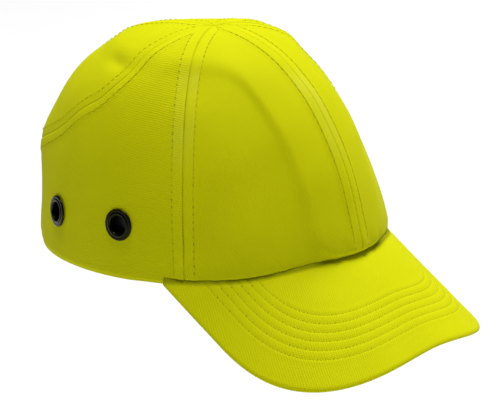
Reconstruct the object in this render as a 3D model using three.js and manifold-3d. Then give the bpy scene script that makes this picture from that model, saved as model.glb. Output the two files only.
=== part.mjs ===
// Bump cap: a fabric baseball-style cover over a moulded impact shell lined with foam pads.
// Millimetres, +Z up, peak towards -Y, wearer's right towards -X. The origin is the centre of the
// head opening, on the plane of the crown's lower edge.
//
// The crown is one surface, crownPoint(theta, t): theta is the heading from the front (0) through
// the wearer's left (+90 degrees) to the back (180), and t climbs from the lower edge (0) to the
// apex (1). Every panel, tape, pad and the shell is a patch of that surface at its own depth.

import * as THREE from 'three';
import { mergeVertices } from 'three/addons/utils/BufferGeometryUtils.js';
import Module from 'manifold-3d';

const wasm = await Module();
wasm.setup();

// ---- driving dimensions -------------------------------------------------------------------

const HALF_WIDTH = 88;          // crown, lower edge, to either side
const FRONT_LENGTH = 103.5;     // crown, lower edge, centre to front
const BACK_LENGTH = 106;        // crown, lower edge, centre to back
const CROWN_HEIGHT = 119.5;
const APEX_Y = -6.8;
const BROW = { out: 2.6, heading: 36, spread: 15, t: 0.08, climb: 0.11 };     // fuller low in front
const NAPE = { out: 2.2, heading: 151, spread: 15, t: 0.22, climb: 0.08 };    // and half way up behind
const NAPE_TUCK = { share: 0.45, t: 0.05, climb: 0.07 };      // drawn in again under the nape
// Exponents of the crown's profile in front, at the sides and behind.
const CLOSING = { front: 0.89, side: 0.715, back: 0.75 };
const CLIMBING = { front: 1.1, side: 0.79, back: 0.59 };
const SQUARENESS = { low: 1.95, high: 1.5 };    // exponent of the plan oval at the edge and the apex

const GAP = 0.3;                // clearance between touching pieces
const COVER_THICK = 1.2;        // twill with its seam allowance
const TAPE_THICK = 0.6;
const TAPE_WIDTH = 9;
const BAND_THICK = 1.6;
const BAND_DEPTH = COVER_THICK + GAP + 0.8;
const BAND_FRONT_HEIGHT = 30;
const BAND_SIDE_HEIGHT = 15;
const SHELL_DEPTH = 4.8;        // outer face of the shell below the cover's outer face
const SHELL_THICK = 2;
const SHELL_EDGE = { brow: 29, side: 13, rear: 54 };      // heights of its lower edge
const SHELL_TURN = { side: [42, 64], rear: [127, 150] };  // headings over which the edge changes
const SLOTS = [
  { headings: [48, 134], height: 78, length: 20, width: 7 },
  { headings: [72, 90, 108], height: 92, length: 13, width: 6 },
];
const PAD_DEPTH = SHELL_DEPTH + SHELL_THICK + GAP + 1.3;
const PAD_THICK = 4;
const PADS = {
  front: { from: -40, to: 40, low: 30, high: 66, columns: 16 },
  left: { from: 66, to: 116, low: 50, high: 84, columns: 10 },
  right: { from: -116, to: -66, low: 50, high: 84, columns: 10 },
  rear: { from: 146, to: 214, low: 58, high: 88, columns: 14 },
};
const CROWN_PAD_T = 0.72;       // the crown pad's edge

const PEAK_HALF_WIDTH = 84;
const PEAK_WIDEST_Y = -81.4;
const PEAK_REACH = 72.4;        // from the widest line to the tip
const PEAK_ROOT = 65;           // heading, in degrees, where the peak leaves the crown
const PEAK_ROOT_OUT = 1.4;      // its edge starts this far outside the crown
const PEAK_SIDE_SHARE = 0.24;   // share of the half edge taken by the side line
const PEAK_ROUNDING = { across: 0.74, forward: 0.88 };
const PEAK_ARCH = { height: 8.7, fall: 44, halfSpan: 80, slope: 0.82, slopeFall: 0.2 };
const PEAK_CLOTH = 0.6;
const PEAK_BOARD = 1.4;
const PEAK_THICK = 2 * PEAK_CLOTH + PEAK_BOARD + 2 * GAP;

const ARCH_HALF_WIDTH = 47;     // rear opening, at the lower edge
const ARCH_HEIGHT = 46;
const BINDING_WIDTH = 3;
const BINDING_PROUD = 0.4;      // the binding stands proud of the cover on both faces

const STRAP_LOW = 1;
const STRAP_HEIGHT = 22;
const STRAP_THICK = 1.4;
const PILE_THICK = 0.9;
const PILE_MARGIN = 2;          // strap left bare above and below the pile

const EYELETS = [
  { theta: 83, height: 29.2 },
  { theta: 118, height: 26.5 },
];
const EYELET_OUTER = 8.6;
const EYELET_HOLE = 5;
const EYELET_WALL = 0.5;
const EYELET_DOME = 1.2;        // height of the rounded flange over its seat

// ---- small helpers ------------------------------------------------------------------------

const RAD = Math.PI / 180;
const smooth = THREE.MathUtils.smoothstep;
const lerp = THREE.MathUtils.lerp;

// The lines between panels, as heading (degrees) and t pairs, on the wearer's left. A Catmull-Rom
// curve passes through them. The band seam runs from the rear opening up and over to the apex.
const APEX_T = 0.998;
const T_SCALE = 90;             // gives t a span like that of the headings
const SIDE_SEAM_FOOT = 58;
const BAND_SEAM_END = 167;
const sideSeam = curveOf([[SIDE_SEAM_FOOT, 0], [59, 0.35], [61, 0.7], [63.5, APEX_T]]);
const bandSeam = curveOf([
  [BAND_SEAM_END, 0.146], [150, 0.19], [130, 0.3], [115.5, 0.427], [106, 0.5], [98.5, 0.62],
  [96, 0.74], [94, 0.86], [96, APEX_T],
]);

function curveOf(points) {
  return new THREE.CatmullRomCurve3(points.map(([a, t]) => new THREE.Vector3(a, t * T_SCALE, 0)));
}

function alongCurve(curve, k) {
  const p = curve.getPoint(k);
  return { theta: p.x, t: p.y / T_SCALE };
}

// ---- the crown's surface ------------------------------------------------------------------

function rimRadius(theta, power) {
  const length = Math.cos(theta) > 0 ? FRONT_LENGTH : BACK_LENGTH;
  const side = (Math.abs(Math.sin(theta)) / HALF_WIDTH) ** power;
  const fore = (Math.abs(Math.cos(theta)) / length) ** power;
  return (side + fore) ** (-1 / power);
}

// How far the crown stands out beyond its plain oval.
function fullness(theta, t) {
  const heading = Math.abs(Math.atan2(Math.sin(theta), Math.cos(theta))) / RAD;
  const bump = (x, middle, spread) => Math.exp(-(((x - middle) / spread) ** 2));
  const brow = bump(heading, BROW.heading, BROW.spread) * bump(t, BROW.t, BROW.climb);
  const nape = bump(t, NAPE.t, NAPE.climb) - NAPE_TUCK.share * bump(t, NAPE_TUCK.t, NAPE_TUCK.climb);
  return BROW.out * brow * smooth(t, -0.03, 0.05)
    + NAPE.out * nape * bump(heading, NAPE.heading, NAPE.spread);
}

// Height of the peak's upper face over the plan: arched across, sloping down to the front.
function peakHeight(x, y) {
  const across = (x / PEAK_ARCH.halfSpan) ** 2;
  const slope = PEAK_ARCH.slope - PEAK_ARCH.slopeFall * across;
  return PEAK_ARCH.height - PEAK_ARCH.fall * across + slope * (y + FRONT_LENGTH);
}

// The lower edge rises with the arch of the peak at the front and is level from the ears back.
function rimHeight(theta) {
  const r = rimRadius(theta, SQUARENESS.low) + fullness(theta, 0);
  const heading = Math.abs(Math.atan2(Math.sin(theta), Math.cos(theta))) / RAD;
  const under = peakHeight(r * Math.sin(theta), -r * Math.cos(theta)) - PEAK_THICK;
  return under * (1 - smooth(heading, 50, 80));
}

function blendByHeading(theta, { front, side, back }) {
  const f = Math.max(Math.cos(theta), 0) ** 2;
  const b = Math.max(-Math.cos(theta), 0) ** 2;
  return front * f + side * (1 - f - b) + back * b;
}

function plainCrown(theta, t) {
  const climb = t * Math.PI / 2;
  const radius = rimRadius(theta, lerp(SQUARENESS.low, SQUARENESS.high, t)) + fullness(theta, t);
  const shrink = Math.max(Math.cos(climb), 0) ** blendByHeading(theta, CLOSING);
  const base = rimHeight(theta) * (1 - t) ** 1.5;
  const rise = Math.max(Math.sin(climb), 0) ** blendByHeading(theta, CLIMBING);
  return new THREE.Vector3(
    radius * shrink * Math.sin(theta),
    -radius * shrink * Math.cos(theta) + APEX_Y * (1 - shrink),
    base + (CROWN_HEIGHT - base) * rise,
  );
}

// The shell has a raised crest over the head that shows through the cover: an oval behind y = -10,
// running forward as a strip with rounded lower corners. Beside it the cover is stretched flat.
const CREST = {
  halfWidth: 50,
  rear: 68,
  y: -10,
  front: 28.5,          // half width of the strip
  foot: 9.5,            // height of the strip's lower end
  corner: 15,
  up: 1.2,              // height of the raised face, and the extra at its foot
  footUp: 1.1,
  edge: 7,              // half width of its rounded edge, behind and in front
  frontEdge: 2.2,
  down: 0.9,            // depth of the stretched cover beside it, behind and in front
  frontDown: 1.75,
  span: 20,             // distance at which that cover lies deepest
};

function insideCrest(p) {
  const dy = p.y - CREST.y;
  if (dy > 0) {
    const oval = Math.max(Math.hypot(p.x / CREST.halfWidth, dy / CREST.rear), 1e-6);
    return (1 - oval) * Math.hypot(p.x, dy) / oval;
  }
  const widening = smooth(p.y, -55, CREST.y) ** 1.3;
  const fromSide = lerp(CREST.front, CREST.halfWidth, widening) - Math.abs(p.x);
  const fromFoot = p.z - CREST.foot;
  if (fromSide > CREST.corner || fromFoot > CREST.corner) return Math.min(fromSide, fromFoot);
  return CREST.corner - Math.hypot(CREST.corner - fromSide, CREST.corner - fromFoot);
}

function crestOffset(p) {
  const inside = insideCrest(p);
  const front = 1 - smooth(p.y, -62, -28);
  const width = lerp(CREST.edge, CREST.frontEdge, front);
  const away = (Math.hypot(inside, width / 2) - inside) / 2;
  const stretch = away / CREST.span;
  const down = lerp(CREST.frontDown, CREST.down, smooth(p.y, -45, 10));
  const hollow = down * stretch * Math.exp(1 - stretch) * smooth(p.z, 0, 45);
  const up = CREST.up + CREST.footUp * front * (1 - smooth(p.z, 12, 36));
  return up * smooth(inside, -width, width) * smooth(p.z, -5, lerp(44, 10, front)) - hollow;
}

// A point of the crown at a depth below the cover's outer face, and the outward direction there.
function crownPoint(degrees, t, depth = 0) {
  const theta = degrees * RAD;
  const e = 1e-3;
  const tn = THREE.MathUtils.clamp(t, 2 * e, 1 - 4 * e);
  const around = plainCrown(theta + e, tn).sub(plainCrown(theta - e, tn));
  const upward = plainCrown(theta, tn + e).sub(plainCrown(theta, tn - e));
  const normal = around.cross(upward).normalize();
  const point = plainCrown(theta, t);
  point.addScaledVector(normal, crestOffset(point) - depth);
  return { point, normal };
}

// The t at which the crown stands at a height above the level plane of the origin.
function tAtHeight(degrees, height) {
  let low = 0;
  let high = 1;
  for (let i = 0; i < 30; i += 1) {
    const mid = (low + high) / 2;
    if (plainCrown(degrees * RAD, mid).z < height) low = mid;
    else high = mid;
  }
  return (low + high) / 2;
}

// ---- closed meshes ------------------------------------------------------------------------

function closedMesh(positions, faces) {
  const geometry = new THREE.BufferGeometry();
  geometry.setAttribute('position', new THREE.Float32BufferAttribute(positions, 3));
  geometry.setIndex(faces);
  return geometry;
}

// Moves the edge rows of a grid inwards along the surface, so that neighbours keep their gap.
function drawInEdges(grid, amount) {
  const rows = grid.length;
  const cols = grid[0].length;
  const moved = grid.map((row) => row.map((c) => ({ ...c, point: c.point.clone() })));
  const shift = (i, j, i2, j2, ia, ja, ib, jb) => {
    const tangent = grid[ib][jb].point.clone().sub(grid[ia][ja].point).normalize();
    const inward = grid[i2][j2].point.clone().sub(grid[i][j].point);
    inward.addScaledVector(tangent, -inward.dot(tangent)).normalize();
    moved[i][j].point.addScaledVector(inward, amount);
  };
  for (let j = 0; j < cols; j += 1) {
    const a = Math.max(j - 1, 0);
    const b = Math.min(j + 1, cols - 1);
    shift(0, j, 1, j, 0, a, 0, b);
    shift(rows - 1, j, rows - 2, j, rows - 1, a, rows - 1, b);
  }
  for (let i = 0; i < rows; i += 1) {
    const a = Math.max(i - 1, 0);
    const b = Math.min(i + 1, rows - 1);
    shift(i, 0, i, 1, a, 0, b, 0);
    shift(i, cols - 1, i, cols - 2, a, cols - 1, b, cols - 1);
  }
  return moved;
}

// A slab from a grid of { point, normal } cells: the outer face, the inner face and four sides.
function slab(grid, thickness, edge = GAP / 2 + 0.05) {
  const cells = edge > 0 ? drawInEdges(grid, edge) : grid;
  const rows = cells.length;
  const cols = cells[0].length;
  const positions = [];
  for (const depth of [0, thickness]) {
    for (const row of cells) {
      for (const { point, normal } of row) {
        positions.push(...point.clone().addScaledVector(normal, -depth).toArray());
      }
    }
  }
  const at = (layer, i, j) => layer * rows * cols + i * cols + j;
  const faces = [];
  const quad = (a, b, c, d) => faces.push(a, b, c, a, c, d);
  for (let i = 0; i + 1 < rows; i += 1) {
    for (let j = 0; j + 1 < cols; j += 1) {
      quad(at(0, i, j), at(0, i, j + 1), at(0, i + 1, j + 1), at(0, i + 1, j));
      quad(at(1, i, j), at(1, i + 1, j), at(1, i + 1, j + 1), at(1, i, j + 1));
    }
  }
  for (let j = 0; j + 1 < cols; j += 1) {
    quad(at(0, 0, j + 1), at(0, 0, j), at(1, 0, j), at(1, 0, j + 1));
    quad(at(0, rows - 1, j), at(0, rows - 1, j + 1), at(1, rows - 1, j + 1), at(1, rows - 1, j));
  }
  for (let i = 0; i + 1 < rows; i += 1) {
    quad(at(0, i, 0), at(0, i + 1, 0), at(1, i + 1, 0), at(1, i, 0));
    quad(at(0, i + 1, cols - 1), at(0, i, cols - 1), at(1, i, cols - 1), at(1, i + 1, cols - 1));
  }
  return closedMesh(positions, faces);
}

// A dish closed over the apex: rings of cells around the crown, each side ending in a pole.
function dish(lowT, depth, thickness, columns, rings, topT = 0.985) {
  const positions = [];
  for (const d of [depth, depth + thickness]) {
    for (let i = 0; i <= rings; i += 1) {
      for (let j = 0; j < columns; j += 1) {
        const theta = 360 * j / columns;
        const t = lerp(lowT(theta), topT, Math.sin(i / rings * Math.PI / 2));
        positions.push(...crownPoint(theta, t, d).point.toArray());
      }
    }
    positions.push(...crownPoint(0, 1, d).point.toArray());
  }
  const layer = (rings + 1) * columns + 1;
  const at = (l, i, j) => l * layer + i * columns + (j % columns);
  const faces = [];
  const quad = (a, b, c, d) => faces.push(a, b, c, a, c, d);
  for (let j = 0; j < columns; j += 1) {
    for (let i = 0; i < rings; i += 1) {
      quad(at(0, i, j), at(0, i, j + 1), at(0, i + 1, j + 1), at(0, i + 1, j));
      quad(at(1, i, j), at(1, i + 1, j), at(1, i + 1, j + 1), at(1, i, j + 1));
    }
    faces.push(at(0, rings, j), at(0, rings, j + 1), layer - 1);
    faces.push(at(1, rings, j + 1), at(1, rings, j), 2 * layer - 1);
    quad(at(0, 0, j + 1), at(0, 0, j), at(1, 0, j), at(1, 0, j + 1));
  }
  return closedMesh(positions, faces);
}

// ---- joins and cuts -----------------------------------------------------------------------

function toManifold(geometry) {
  const bare = geometry.clone();
  bare.deleteAttribute('normal');
  bare.deleteAttribute('uv');
  const merged = mergeVertices(bare, 1e-4);
  return new wasm.Manifold(new wasm.Mesh({
    numProp: 3,
    vertProperties: new Float32Array(merged.attributes.position.array),
    triVerts: new Uint32Array(merged.index.array),
  }));
}

function fromManifold(solid) {
  const mesh = solid.getMesh();
  return closedMesh(Array.from(mesh.vertProperties), Array.from(mesh.triVerts));
}

function cut(geometry, tools) {
  let solid = toManifold(geometry);
  for (const tool of tools) solid = solid.subtract(toManifold(tool));
  return fromManifold(solid);
}

// Turns a geometry whose axis is +Y so that it points along a direction, then moves it.
function placed(geometry, direction, position) {
  const turn = new THREE.Quaternion();
  turn.setFromUnitVectors(new THREE.Vector3(0, 1, 0), direction);
  geometry.applyQuaternion(turn);
  geometry.translate(position.x, position.y, position.z);
  return geometry;
}

// ---- materials ----------------------------------------------------------------------------

function material(color, roughness, metalness = 0) {
  return new THREE.MeshStandardMaterial({ color, roughness, metalness });
}

const HI_VIS = material(0xd3d60a, 0.85);
const HI_VIS_UNDER = material(0xc2c50a, 0.88);
const TAPE = material(0x2a2b2c, 0.9);
const TERRY = material(0x242526, 0.95);
const BOARD = material(0xe8e8e4, 0.5);
const EYELET_METAL = material(0x24220f, 0.3, 0.85);
const SHELL_PLASTIC = material(0x1d1f22, 0.42);
const FOAM = material(0x33363a, 0.95);
const PILE = material(0x191a1b, 1);
const STRAP_CLOTH = material(0xcacd0a, 0.86);

const cap = new THREE.Group();

function add(name, geometry, finish) {
  const mesh = new THREE.Mesh(geometry, finish);
  mesh.name = name;
  cap.add(mesh);
}

// ---- the cover's panels -------------------------------------------------------------------

// Neighbouring panels share the same points along their seam, so the gap between them is even.
const SIDE_SEAM_STEPS = 14;
const HEM_STEPS = 10;
const ARCH_STEPS = 6;
const BAND_SEAM_STEPS = SIDE_SEAM_STEPS + HEM_STEPS + ARCH_STEPS;

// The rear opening's edge: a half ellipse seen from behind. share runs from 0, where it leaves the
// lower edge, to 1 on the centre line. margin widens it.
function archPoint(share, margin = 0) {
  const x = (ARCH_HALF_WIDTH + margin) * Math.cos(share * Math.PI / 2);
  const height = (ARCH_HEIGHT + margin) * Math.sin(share * Math.PI / 2);
  let theta = 180;
  for (let i = 0; i < 6; i += 1) {
    const back = plainCrown(theta * RAD, tAtHeight(theta, height)).y;
    theta = 180 - Math.atan2(x, back) / RAD;
  }
  return { theta, t: tAtHeight(theta, height) };
}

// The share of the arch at which it crosses the end of the band seam.
function archShareAt(heading, margin) {
  let low = 0;
  let high = 1;
  for (let i = 0; i < 30; i += 1) {
    const mid = (low + high) / 2;
    if (archPoint(mid, margin).theta < heading) low = mid;
    else high = mid;
  }
  return (low + high) / 2;
}

const PANEL_MARGIN = BINDING_WIDTH + 0.7;     // the panels' edge, outside the binding
const ARCH_JOIN = archShareAt(BAND_SEAM_END, PANEL_MARGIN);
bandSeam.points[0].y = archPoint(ARCH_JOIN, PANEL_MARGIN).t * T_SCALE;

// A patch of the crown between two edges, each a function of the share k along it. side is +1 for
// the wearer's left and -1 for the right, which is its mirror.
function patch(side, from, to, steps, columns, depth = 0) {
  const grid = [];
  for (let i = 0; i <= steps; i += 1) {
    const a = from(i / steps);
    const b = to(i / steps);
    const row = [];
    for (let j = 0; j <= columns; j += 1) {
      const k = side > 0 ? j / columns : 1 - j / columns;
      row.push(crownPoint(side * lerp(a.theta, b.theta, k), lerp(a.t, b.t, k), depth));
    }
    grid.push(row);
  }
  return grid;
}

function frontPanel(side) {
  const centre = (k) => ({ theta: 0, t: APEX_T * k });
  return slab(patch(side, centre, (k) => alongCurve(sideSeam, k), SIDE_SEAM_STEPS, 8), COVER_THICK);
}

// The side panel starts at the apex between two seams, then follows the hem round to the arch.
function sidePanelEdge(k) {
  const step = (1 - k) * BAND_SEAM_STEPS;
  if (step <= SIDE_SEAM_STEPS) return alongCurve(sideSeam, 1 - step / SIDE_SEAM_STEPS);
  const hem = (step - SIDE_SEAM_STEPS) / HEM_STEPS;
  if (hem <= 1) return { theta: lerp(SIDE_SEAM_FOOT, archPoint(0, PANEL_MARGIN).theta, hem), t: 0 };
  return archPoint(ARCH_JOIN * (step - SIDE_SEAM_STEPS - HEM_STEPS) / (ARCH_STEPS + 0.5), PANEL_MARGIN);
}

function eyeletPlaces(side) {
  return EYELETS.map(({ theta, height }) => crownPoint(side * theta, tAtHeight(theta, height)));
}

function sidePanel(side) {
  const radius = EYELET_HOLE + EYELET_WALL + GAP;
  const holes = eyeletPlaces(side).map(({ point, normal }) => (
    placed(new THREE.CylinderGeometry(radius, radius, 12, 20), normal, point)
  ));
  const band = (k) => alongCurve(bandSeam, k);
  return cut(slab(patch(side, sidePanelEdge, band, BAND_SEAM_STEPS, 6), COVER_THICK), holes);
}

function backPanel(side) {
  const lowest = archPoint(1, PANEL_MARGIN).t;
  const archEdge = (k) => archPoint(lerp(ARCH_JOIN, 1, k), PANEL_MARGIN);
  // The lower edge follows the arch and the upper edge closes at the apex.
  const grid = [];
  const columns = 7;
  for (let i = 0; i <= BAND_SEAM_STEPS; i += 1) {
    const v = i / BAND_SEAM_STEPS;
    const row = [];
    for (let j = 0; j <= columns; j += 1) {
      const u = side > 0 ? j / columns : 1 - j / columns;
      const seam = alongCurve(bandSeam, v);
      const sag = (1 - v) ** 3;
      const arch = archEdge(u);
      const chord = lerp(archEdge(0).t, lowest, u);
      const theta = lerp(seam.theta, 180, u) + sag * (arch.theta - lerp(BAND_SEAM_END, 180, u));
      const t = lerp(seam.t, lerp(lowest, APEX_T, v), u) + sag * (arch.t - chord);
      row.push(crownPoint(side * theta, t));
    }
    grid.push(row);
  }
  return slab(grid, COVER_THICK);
}

const SIDES = [['left', 1], ['right', -1]];
for (const [name, side] of SIDES) {
  add(`front_panel_${name}`, frontPanel(side), HI_VIS);
  add(`side_panel_${name}`, sidePanel(side), HI_VIS);
  add(`back_panel_${name}`, backPanel(side), HI_VIS);
}

// The binding: a bead of folded tape along the edge of the rear opening, hem to hem.
function archBinding() {
  const steps = 24;
  const grid = [];
  for (let i = 0; i <= steps; i += 1) {
    const share = 2 * i / steps;
    const side = share < 1 ? 1 : -1;
    const k = share < 1 ? share : 2 - share;
    const row = [BINDING_WIDTH, 0].map((margin) => {
      const { theta, t } = archPoint(k, margin);
      return crownPoint(side * theta, t, -BINDING_PROUD);
    });
    grid.push(row);
  }
  return slab(grid, COVER_THICK + 2.5 * BINDING_PROUD);
}
add('rear_arch_binding', archBinding(), HI_VIS_UNDER);

// ---- seam tapes, inside the cover ---------------------------------------------------------

// A flat strip that follows a line of the crown at a depth.
function strip(line, steps, width, depth, thickness) {
  const grid = [];
  for (let i = 0; i <= steps; i += 1) {
    const here = line(i / steps);
    const ahead = line(Math.min(i / steps + 0.01, 1));
    const behind = line(Math.max(i / steps - 0.01, 0));
    const { point, normal } = crownPoint(here.theta, here.t, depth);
    const along = crownPoint(ahead.theta, ahead.t, depth).point;
    along.sub(crownPoint(behind.theta, behind.t, depth).point);
    const across = along.cross(normal).normalize();
    grid.push([-0.5, 0.5].map((k) => (
      { point: point.clone().addScaledVector(across, k * width), normal }
    )));
  }
  return slab(grid, thickness, 0);
}

const TAPE_DEPTH = COVER_THICK + GAP + 0.7;
const TAPE_TOP = 0.92;          // the tapes stop before they would meet at the apex
const TAPE_STEPS = 12;
const BAND_TAPE_FOOT = 0.07;    // share of the band seam left bare by the binding

function tapeAlong(curve, side, from) {
  const line = (k) => {
    const { theta, t } = alongCurve(curve, lerp(from, TAPE_TOP, k));
    return { theta: side * theta, t };
  };
  return strip(line, TAPE_STEPS, TAPE_WIDTH, TAPE_DEPTH, TAPE_THICK);
}

function tapeOnCentre(theta, lowT) {
  const line = (k) => ({ theta, t: lerp(lowT, TAPE_TOP, k) });
  return strip(line, TAPE_STEPS, TAPE_WIDTH, TAPE_DEPTH, TAPE_THICK);
}

const ABOVE_BAND = BAND_FRONT_HEIGHT + 6;
add('front_seam_tape', tapeOnCentre(0, tAtHeight(0, ABOVE_BAND + 8)), TAPE);
add('back_seam_tape', tapeOnCentre(180, archPoint(1, PANEL_MARGIN + 3).t), TAPE);
for (const [name, side] of SIDES) {
  add(`side_seam_tape_${name}`, tapeAlong(sideSeam, side, tAtHeight(59, ABOVE_BAND)), TAPE);
  add(`band_seam_tape_${name}`, tapeAlong(bandSeam, side, BAND_TAPE_FOOT), TAPE);
}

// ---- sweatband ----------------------------------------------------------------------------

function sweatband(from, to, height, steps) {
  const grid = [];
  for (let i = 0; i <= 3; i += 1) {
    const row = [];
    for (let j = 0; j <= steps; j += 1) {
      const theta = lerp(from, to, j / steps);
      const low = rimHeight(theta * RAD) + 0.6;
      row.push(crownPoint(theta, tAtHeight(theta, low + height * i / 3), BAND_DEPTH));
    }
    grid.push(row);
  }
  return slab(grid, BAND_THICK);
}

const BAND_JOIN = 62;           // heading where the padded front meets the plain sides
const BAND_END = 142;
add('sweatband_front', sweatband(-BAND_JOIN, BAND_JOIN, BAND_FRONT_HEIGHT, 18), TERRY);
add('sweatband_left', sweatband(BAND_JOIN, BAND_END, BAND_SIDE_HEIGHT, 12), TERRY);
add('sweatband_right', sweatband(-BAND_END, -BAND_JOIN, BAND_SIDE_HEIGHT, 12), TERRY);

// ---- eyelets ------------------------------------------------------------------------------

// A domed flange with its barrel, turned about +Y, the way out of the cap. y = 0 is the cover.
function eyeletFlange() {
  const outer = EYELET_OUTER;
  const hole = EYELET_HOLE;
  const foot = -COVER_THICK - 1.8;
  const profile = [
    [hole, foot], [hole + EYELET_WALL, foot], [hole + EYELET_WALL, GAP], [outer - 0.5, GAP],
    [outer, GAP + 0.4], [outer - 0.9, GAP + 0.75 * EYELET_DOME], [(outer + hole) / 2, GAP + EYELET_DOME],
    [hole + 0.7, GAP + 0.8 * EYELET_DOME], [hole, GAP + 0.5], [hole, foot],
  ];
  return new THREE.LatheGeometry(profile.map(([x, y]) => new THREE.Vector2(x, y)), 16);
}

// The washer that the barrel is rolled over, inside the cover.
function eyeletWasher() {
  const inner = EYELET_HOLE + EYELET_WALL + GAP;
  const top = -COVER_THICK - GAP - 0.7;
  const profile = [
    [inner, top - 0.6], [EYELET_OUTER - 0.5, top - 0.6], [EYELET_OUTER - 0.5, top], [inner, top],
    [inner, top - 0.6],
  ];
  return new THREE.LatheGeometry(profile.map(([x, y]) => new THREE.Vector2(x, y)), 16);
}

for (const [name, side] of SIDES) {
  eyeletPlaces(side).forEach(({ point, normal }, i) => {
    const place = i === 0 ? 'front' : 'rear';
    add(`eyelet_${place}_${name}`, placed(eyeletFlange(), normal, point), EYELET_METAL);
    add(`eyelet_washer_${place}_${name}`, placed(eyeletWasher(), normal, point), EYELET_METAL);
  });
}

// ---- peak ---------------------------------------------------------------------------------

// The outer edge in plan: a side line from the root to the widest point, then a rounded front.
// k runs from -1, at the wearer's right root, through 0 at the tip to 1 at the left root.
function peakEdge(k, inset) {
  const side = Math.sign(k) || 1;
  const share = Math.abs(k);
  if (share > 1 - PEAK_SIDE_SHARE) {
    const back = (share - 1 + PEAK_SIDE_SHARE) / PEAK_SIDE_SHARE;
    const root = peakRoot(PEAK_ROOT, 0);
    const y = lerp(PEAK_WIDEST_Y, root.y, back);
    return new THREE.Vector2(side * (lerp(PEAK_HALF_WIDTH, root.x + PEAK_ROOT_OUT, back) - inset), y);
  }
  const angle = share / (1 - PEAK_SIDE_SHARE) * Math.PI / 2;
  const x = (PEAK_HALF_WIDTH - inset) * Math.sin(angle) ** PEAK_ROUNDING.across;
  const y = PEAK_WIDEST_Y - (PEAK_REACH - inset) * Math.cos(angle) ** PEAK_ROUNDING.forward;
  return new THREE.Vector2(side * x, y);
}

// A point on the crown's lower edge in plan, moved out by an offset.
function peakRoot(degrees, offset) {
  const { point, normal } = crownPoint(degrees, 0);
  const out = new THREE.Vector2(normal.x, normal.y).normalize();
  return new THREE.Vector2(point.x, point.y).addScaledVector(out, offset);
}

// A layer of the peak at a depth under its upper face, its edge moved in by an inset.
function peakLayer(depth, thickness, inset) {
  const columns = 26;
  const rows = 4;
  const grid = [];
  for (let i = 0; i <= rows; i += 1) {
    const row = [];
    for (let j = 0; j <= columns; j += 1) {
      const k = 2 * j / columns - 1;
      const inner = peakRoot(PEAK_ROOT * k, GAP + 0.3);
      const outer = peakEdge(k, inset);
      const p = outer.lerp(inner, i / rows);
      const point = new THREE.Vector3(p.x, p.y, peakHeight(p.x, p.y) - depth);
      row.push({ point, normal: new THREE.Vector3(0, 0, 1) });
    }
    grid.push(row);
  }
  return slab(grid, thickness, 0);
}

add('peak_top_cover', peakLayer(0, PEAK_CLOTH, 0), HI_VIS);
add('peak_board', peakLayer(PEAK_CLOTH + GAP, PEAK_BOARD, 1.2), BOARD);
add('peak_under_cover', peakLayer(PEAK_THICK - PEAK_CLOTH, PEAK_CLOTH, 0), HI_VIS_UNDER);

// ---- impact shell and its pads ------------------------------------------------------------

// The shell's lower edge: above the brow, down behind the eyelets at the sides, and lifted clear
// of the rear opening.
function shellEdgeHeight(degrees) {
  const heading = Math.abs(THREE.MathUtils.euclideanModulo(degrees + 180, 360) - 180);
  const toSides = smooth(heading, ...SHELL_TURN.side);
  const toRear = smooth(heading, ...SHELL_TURN.rear);
  return lerp(lerp(SHELL_EDGE.brow, SHELL_EDGE.side, toSides), SHELL_EDGE.rear, toRear);
}

// An oblong cutter with round ends, lying along the crown and passing through the shell.
function slotCutter(degrees, height, length, width) {
  const r = width / 2;
  const half = length / 2 - r;
  const outline = new THREE.Shape();
  outline.absarc(half, 0, r, -Math.PI / 2, Math.PI / 2, false);
  outline.absarc(-half, 0, r, Math.PI / 2, 1.5 * Math.PI, false);
  const slot = new THREE.ExtrudeGeometry(outline, { depth: 16, bevelEnabled: false, curveSegments: 3 });
  slot.translate(0, 0, -8);
  const { point, normal } = crownPoint(degrees, tAtHeight(degrees, height), SHELL_DEPTH);
  const sideways = new THREE.Vector3(0, 0, 1).cross(normal).normalize();
  const upward = normal.clone().cross(sideways);
  slot.applyMatrix4(new THREE.Matrix4().makeBasis(sideways, upward, normal));
  slot.translate(point.x, point.y, point.z);
  return slot;
}

function impactShell() {
  const slots = [];
  for (const { headings, height, length, width } of SLOTS) {
    for (const heading of headings) {
      slots.push(slotCutter(heading, height, length, width));
      slots.push(slotCutter(-heading, height, length, width));
    }
  }
  const lowT = (degrees) => tAtHeight(degrees, shellEdgeHeight(degrees));
  return cut(dish(lowT, SHELL_DEPTH, SHELL_THICK, 60, 15), slots);
}
add('impact_shell', impactShell(), SHELL_PLASTIC);

// A foam pad under the shell, between two headings and two heights.
function pad({ from, to, low, high, columns }) {
  const rows = 8;
  const grid = [];
  for (let i = 0; i <= rows; i += 1) {
    const row = [];
    for (let j = 0; j <= columns; j += 1) {
      const theta = lerp(from, to, j / columns);
      row.push(crownPoint(theta, tAtHeight(theta, lerp(low, high, i / rows)), PAD_DEPTH));
    }
    grid.push(row);
  }
  return slab(grid, PAD_THICK, 0);
}

for (const [name, extent] of Object.entries(PADS)) add(`foam_pad_${name}`, pad(extent), FOAM);
add('foam_pad_crown', dish(() => CROWN_PAD_T, PAD_DEPTH, PAD_THICK, 30, 5), FOAM);

// ---- rear strap ---------------------------------------------------------------------------

// A strap along the lower edge at the back, between two headings. depthAt gives its outer face's
// depth below the cover's outer face at a heading; a negative depth stands proud of the cover.
function strap(from, to, low, height, thickness, depthAt) {
  const steps = Math.max(4, Math.round(Math.abs(to - from) / 3));
  const grid = [];
  for (let i = 0; i <= 2; i += 1) {
    const row = [];
    for (let j = 0; j <= steps; j += 1) {
      const theta = lerp(from, to, j / steps);
      row.push(crownPoint(theta, tAtHeight(theta, low + height * i / 2), depthAt(theta)));
    }
    grid.push(row);
  }
  return slab(grid, thickness, 0);
}

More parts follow.
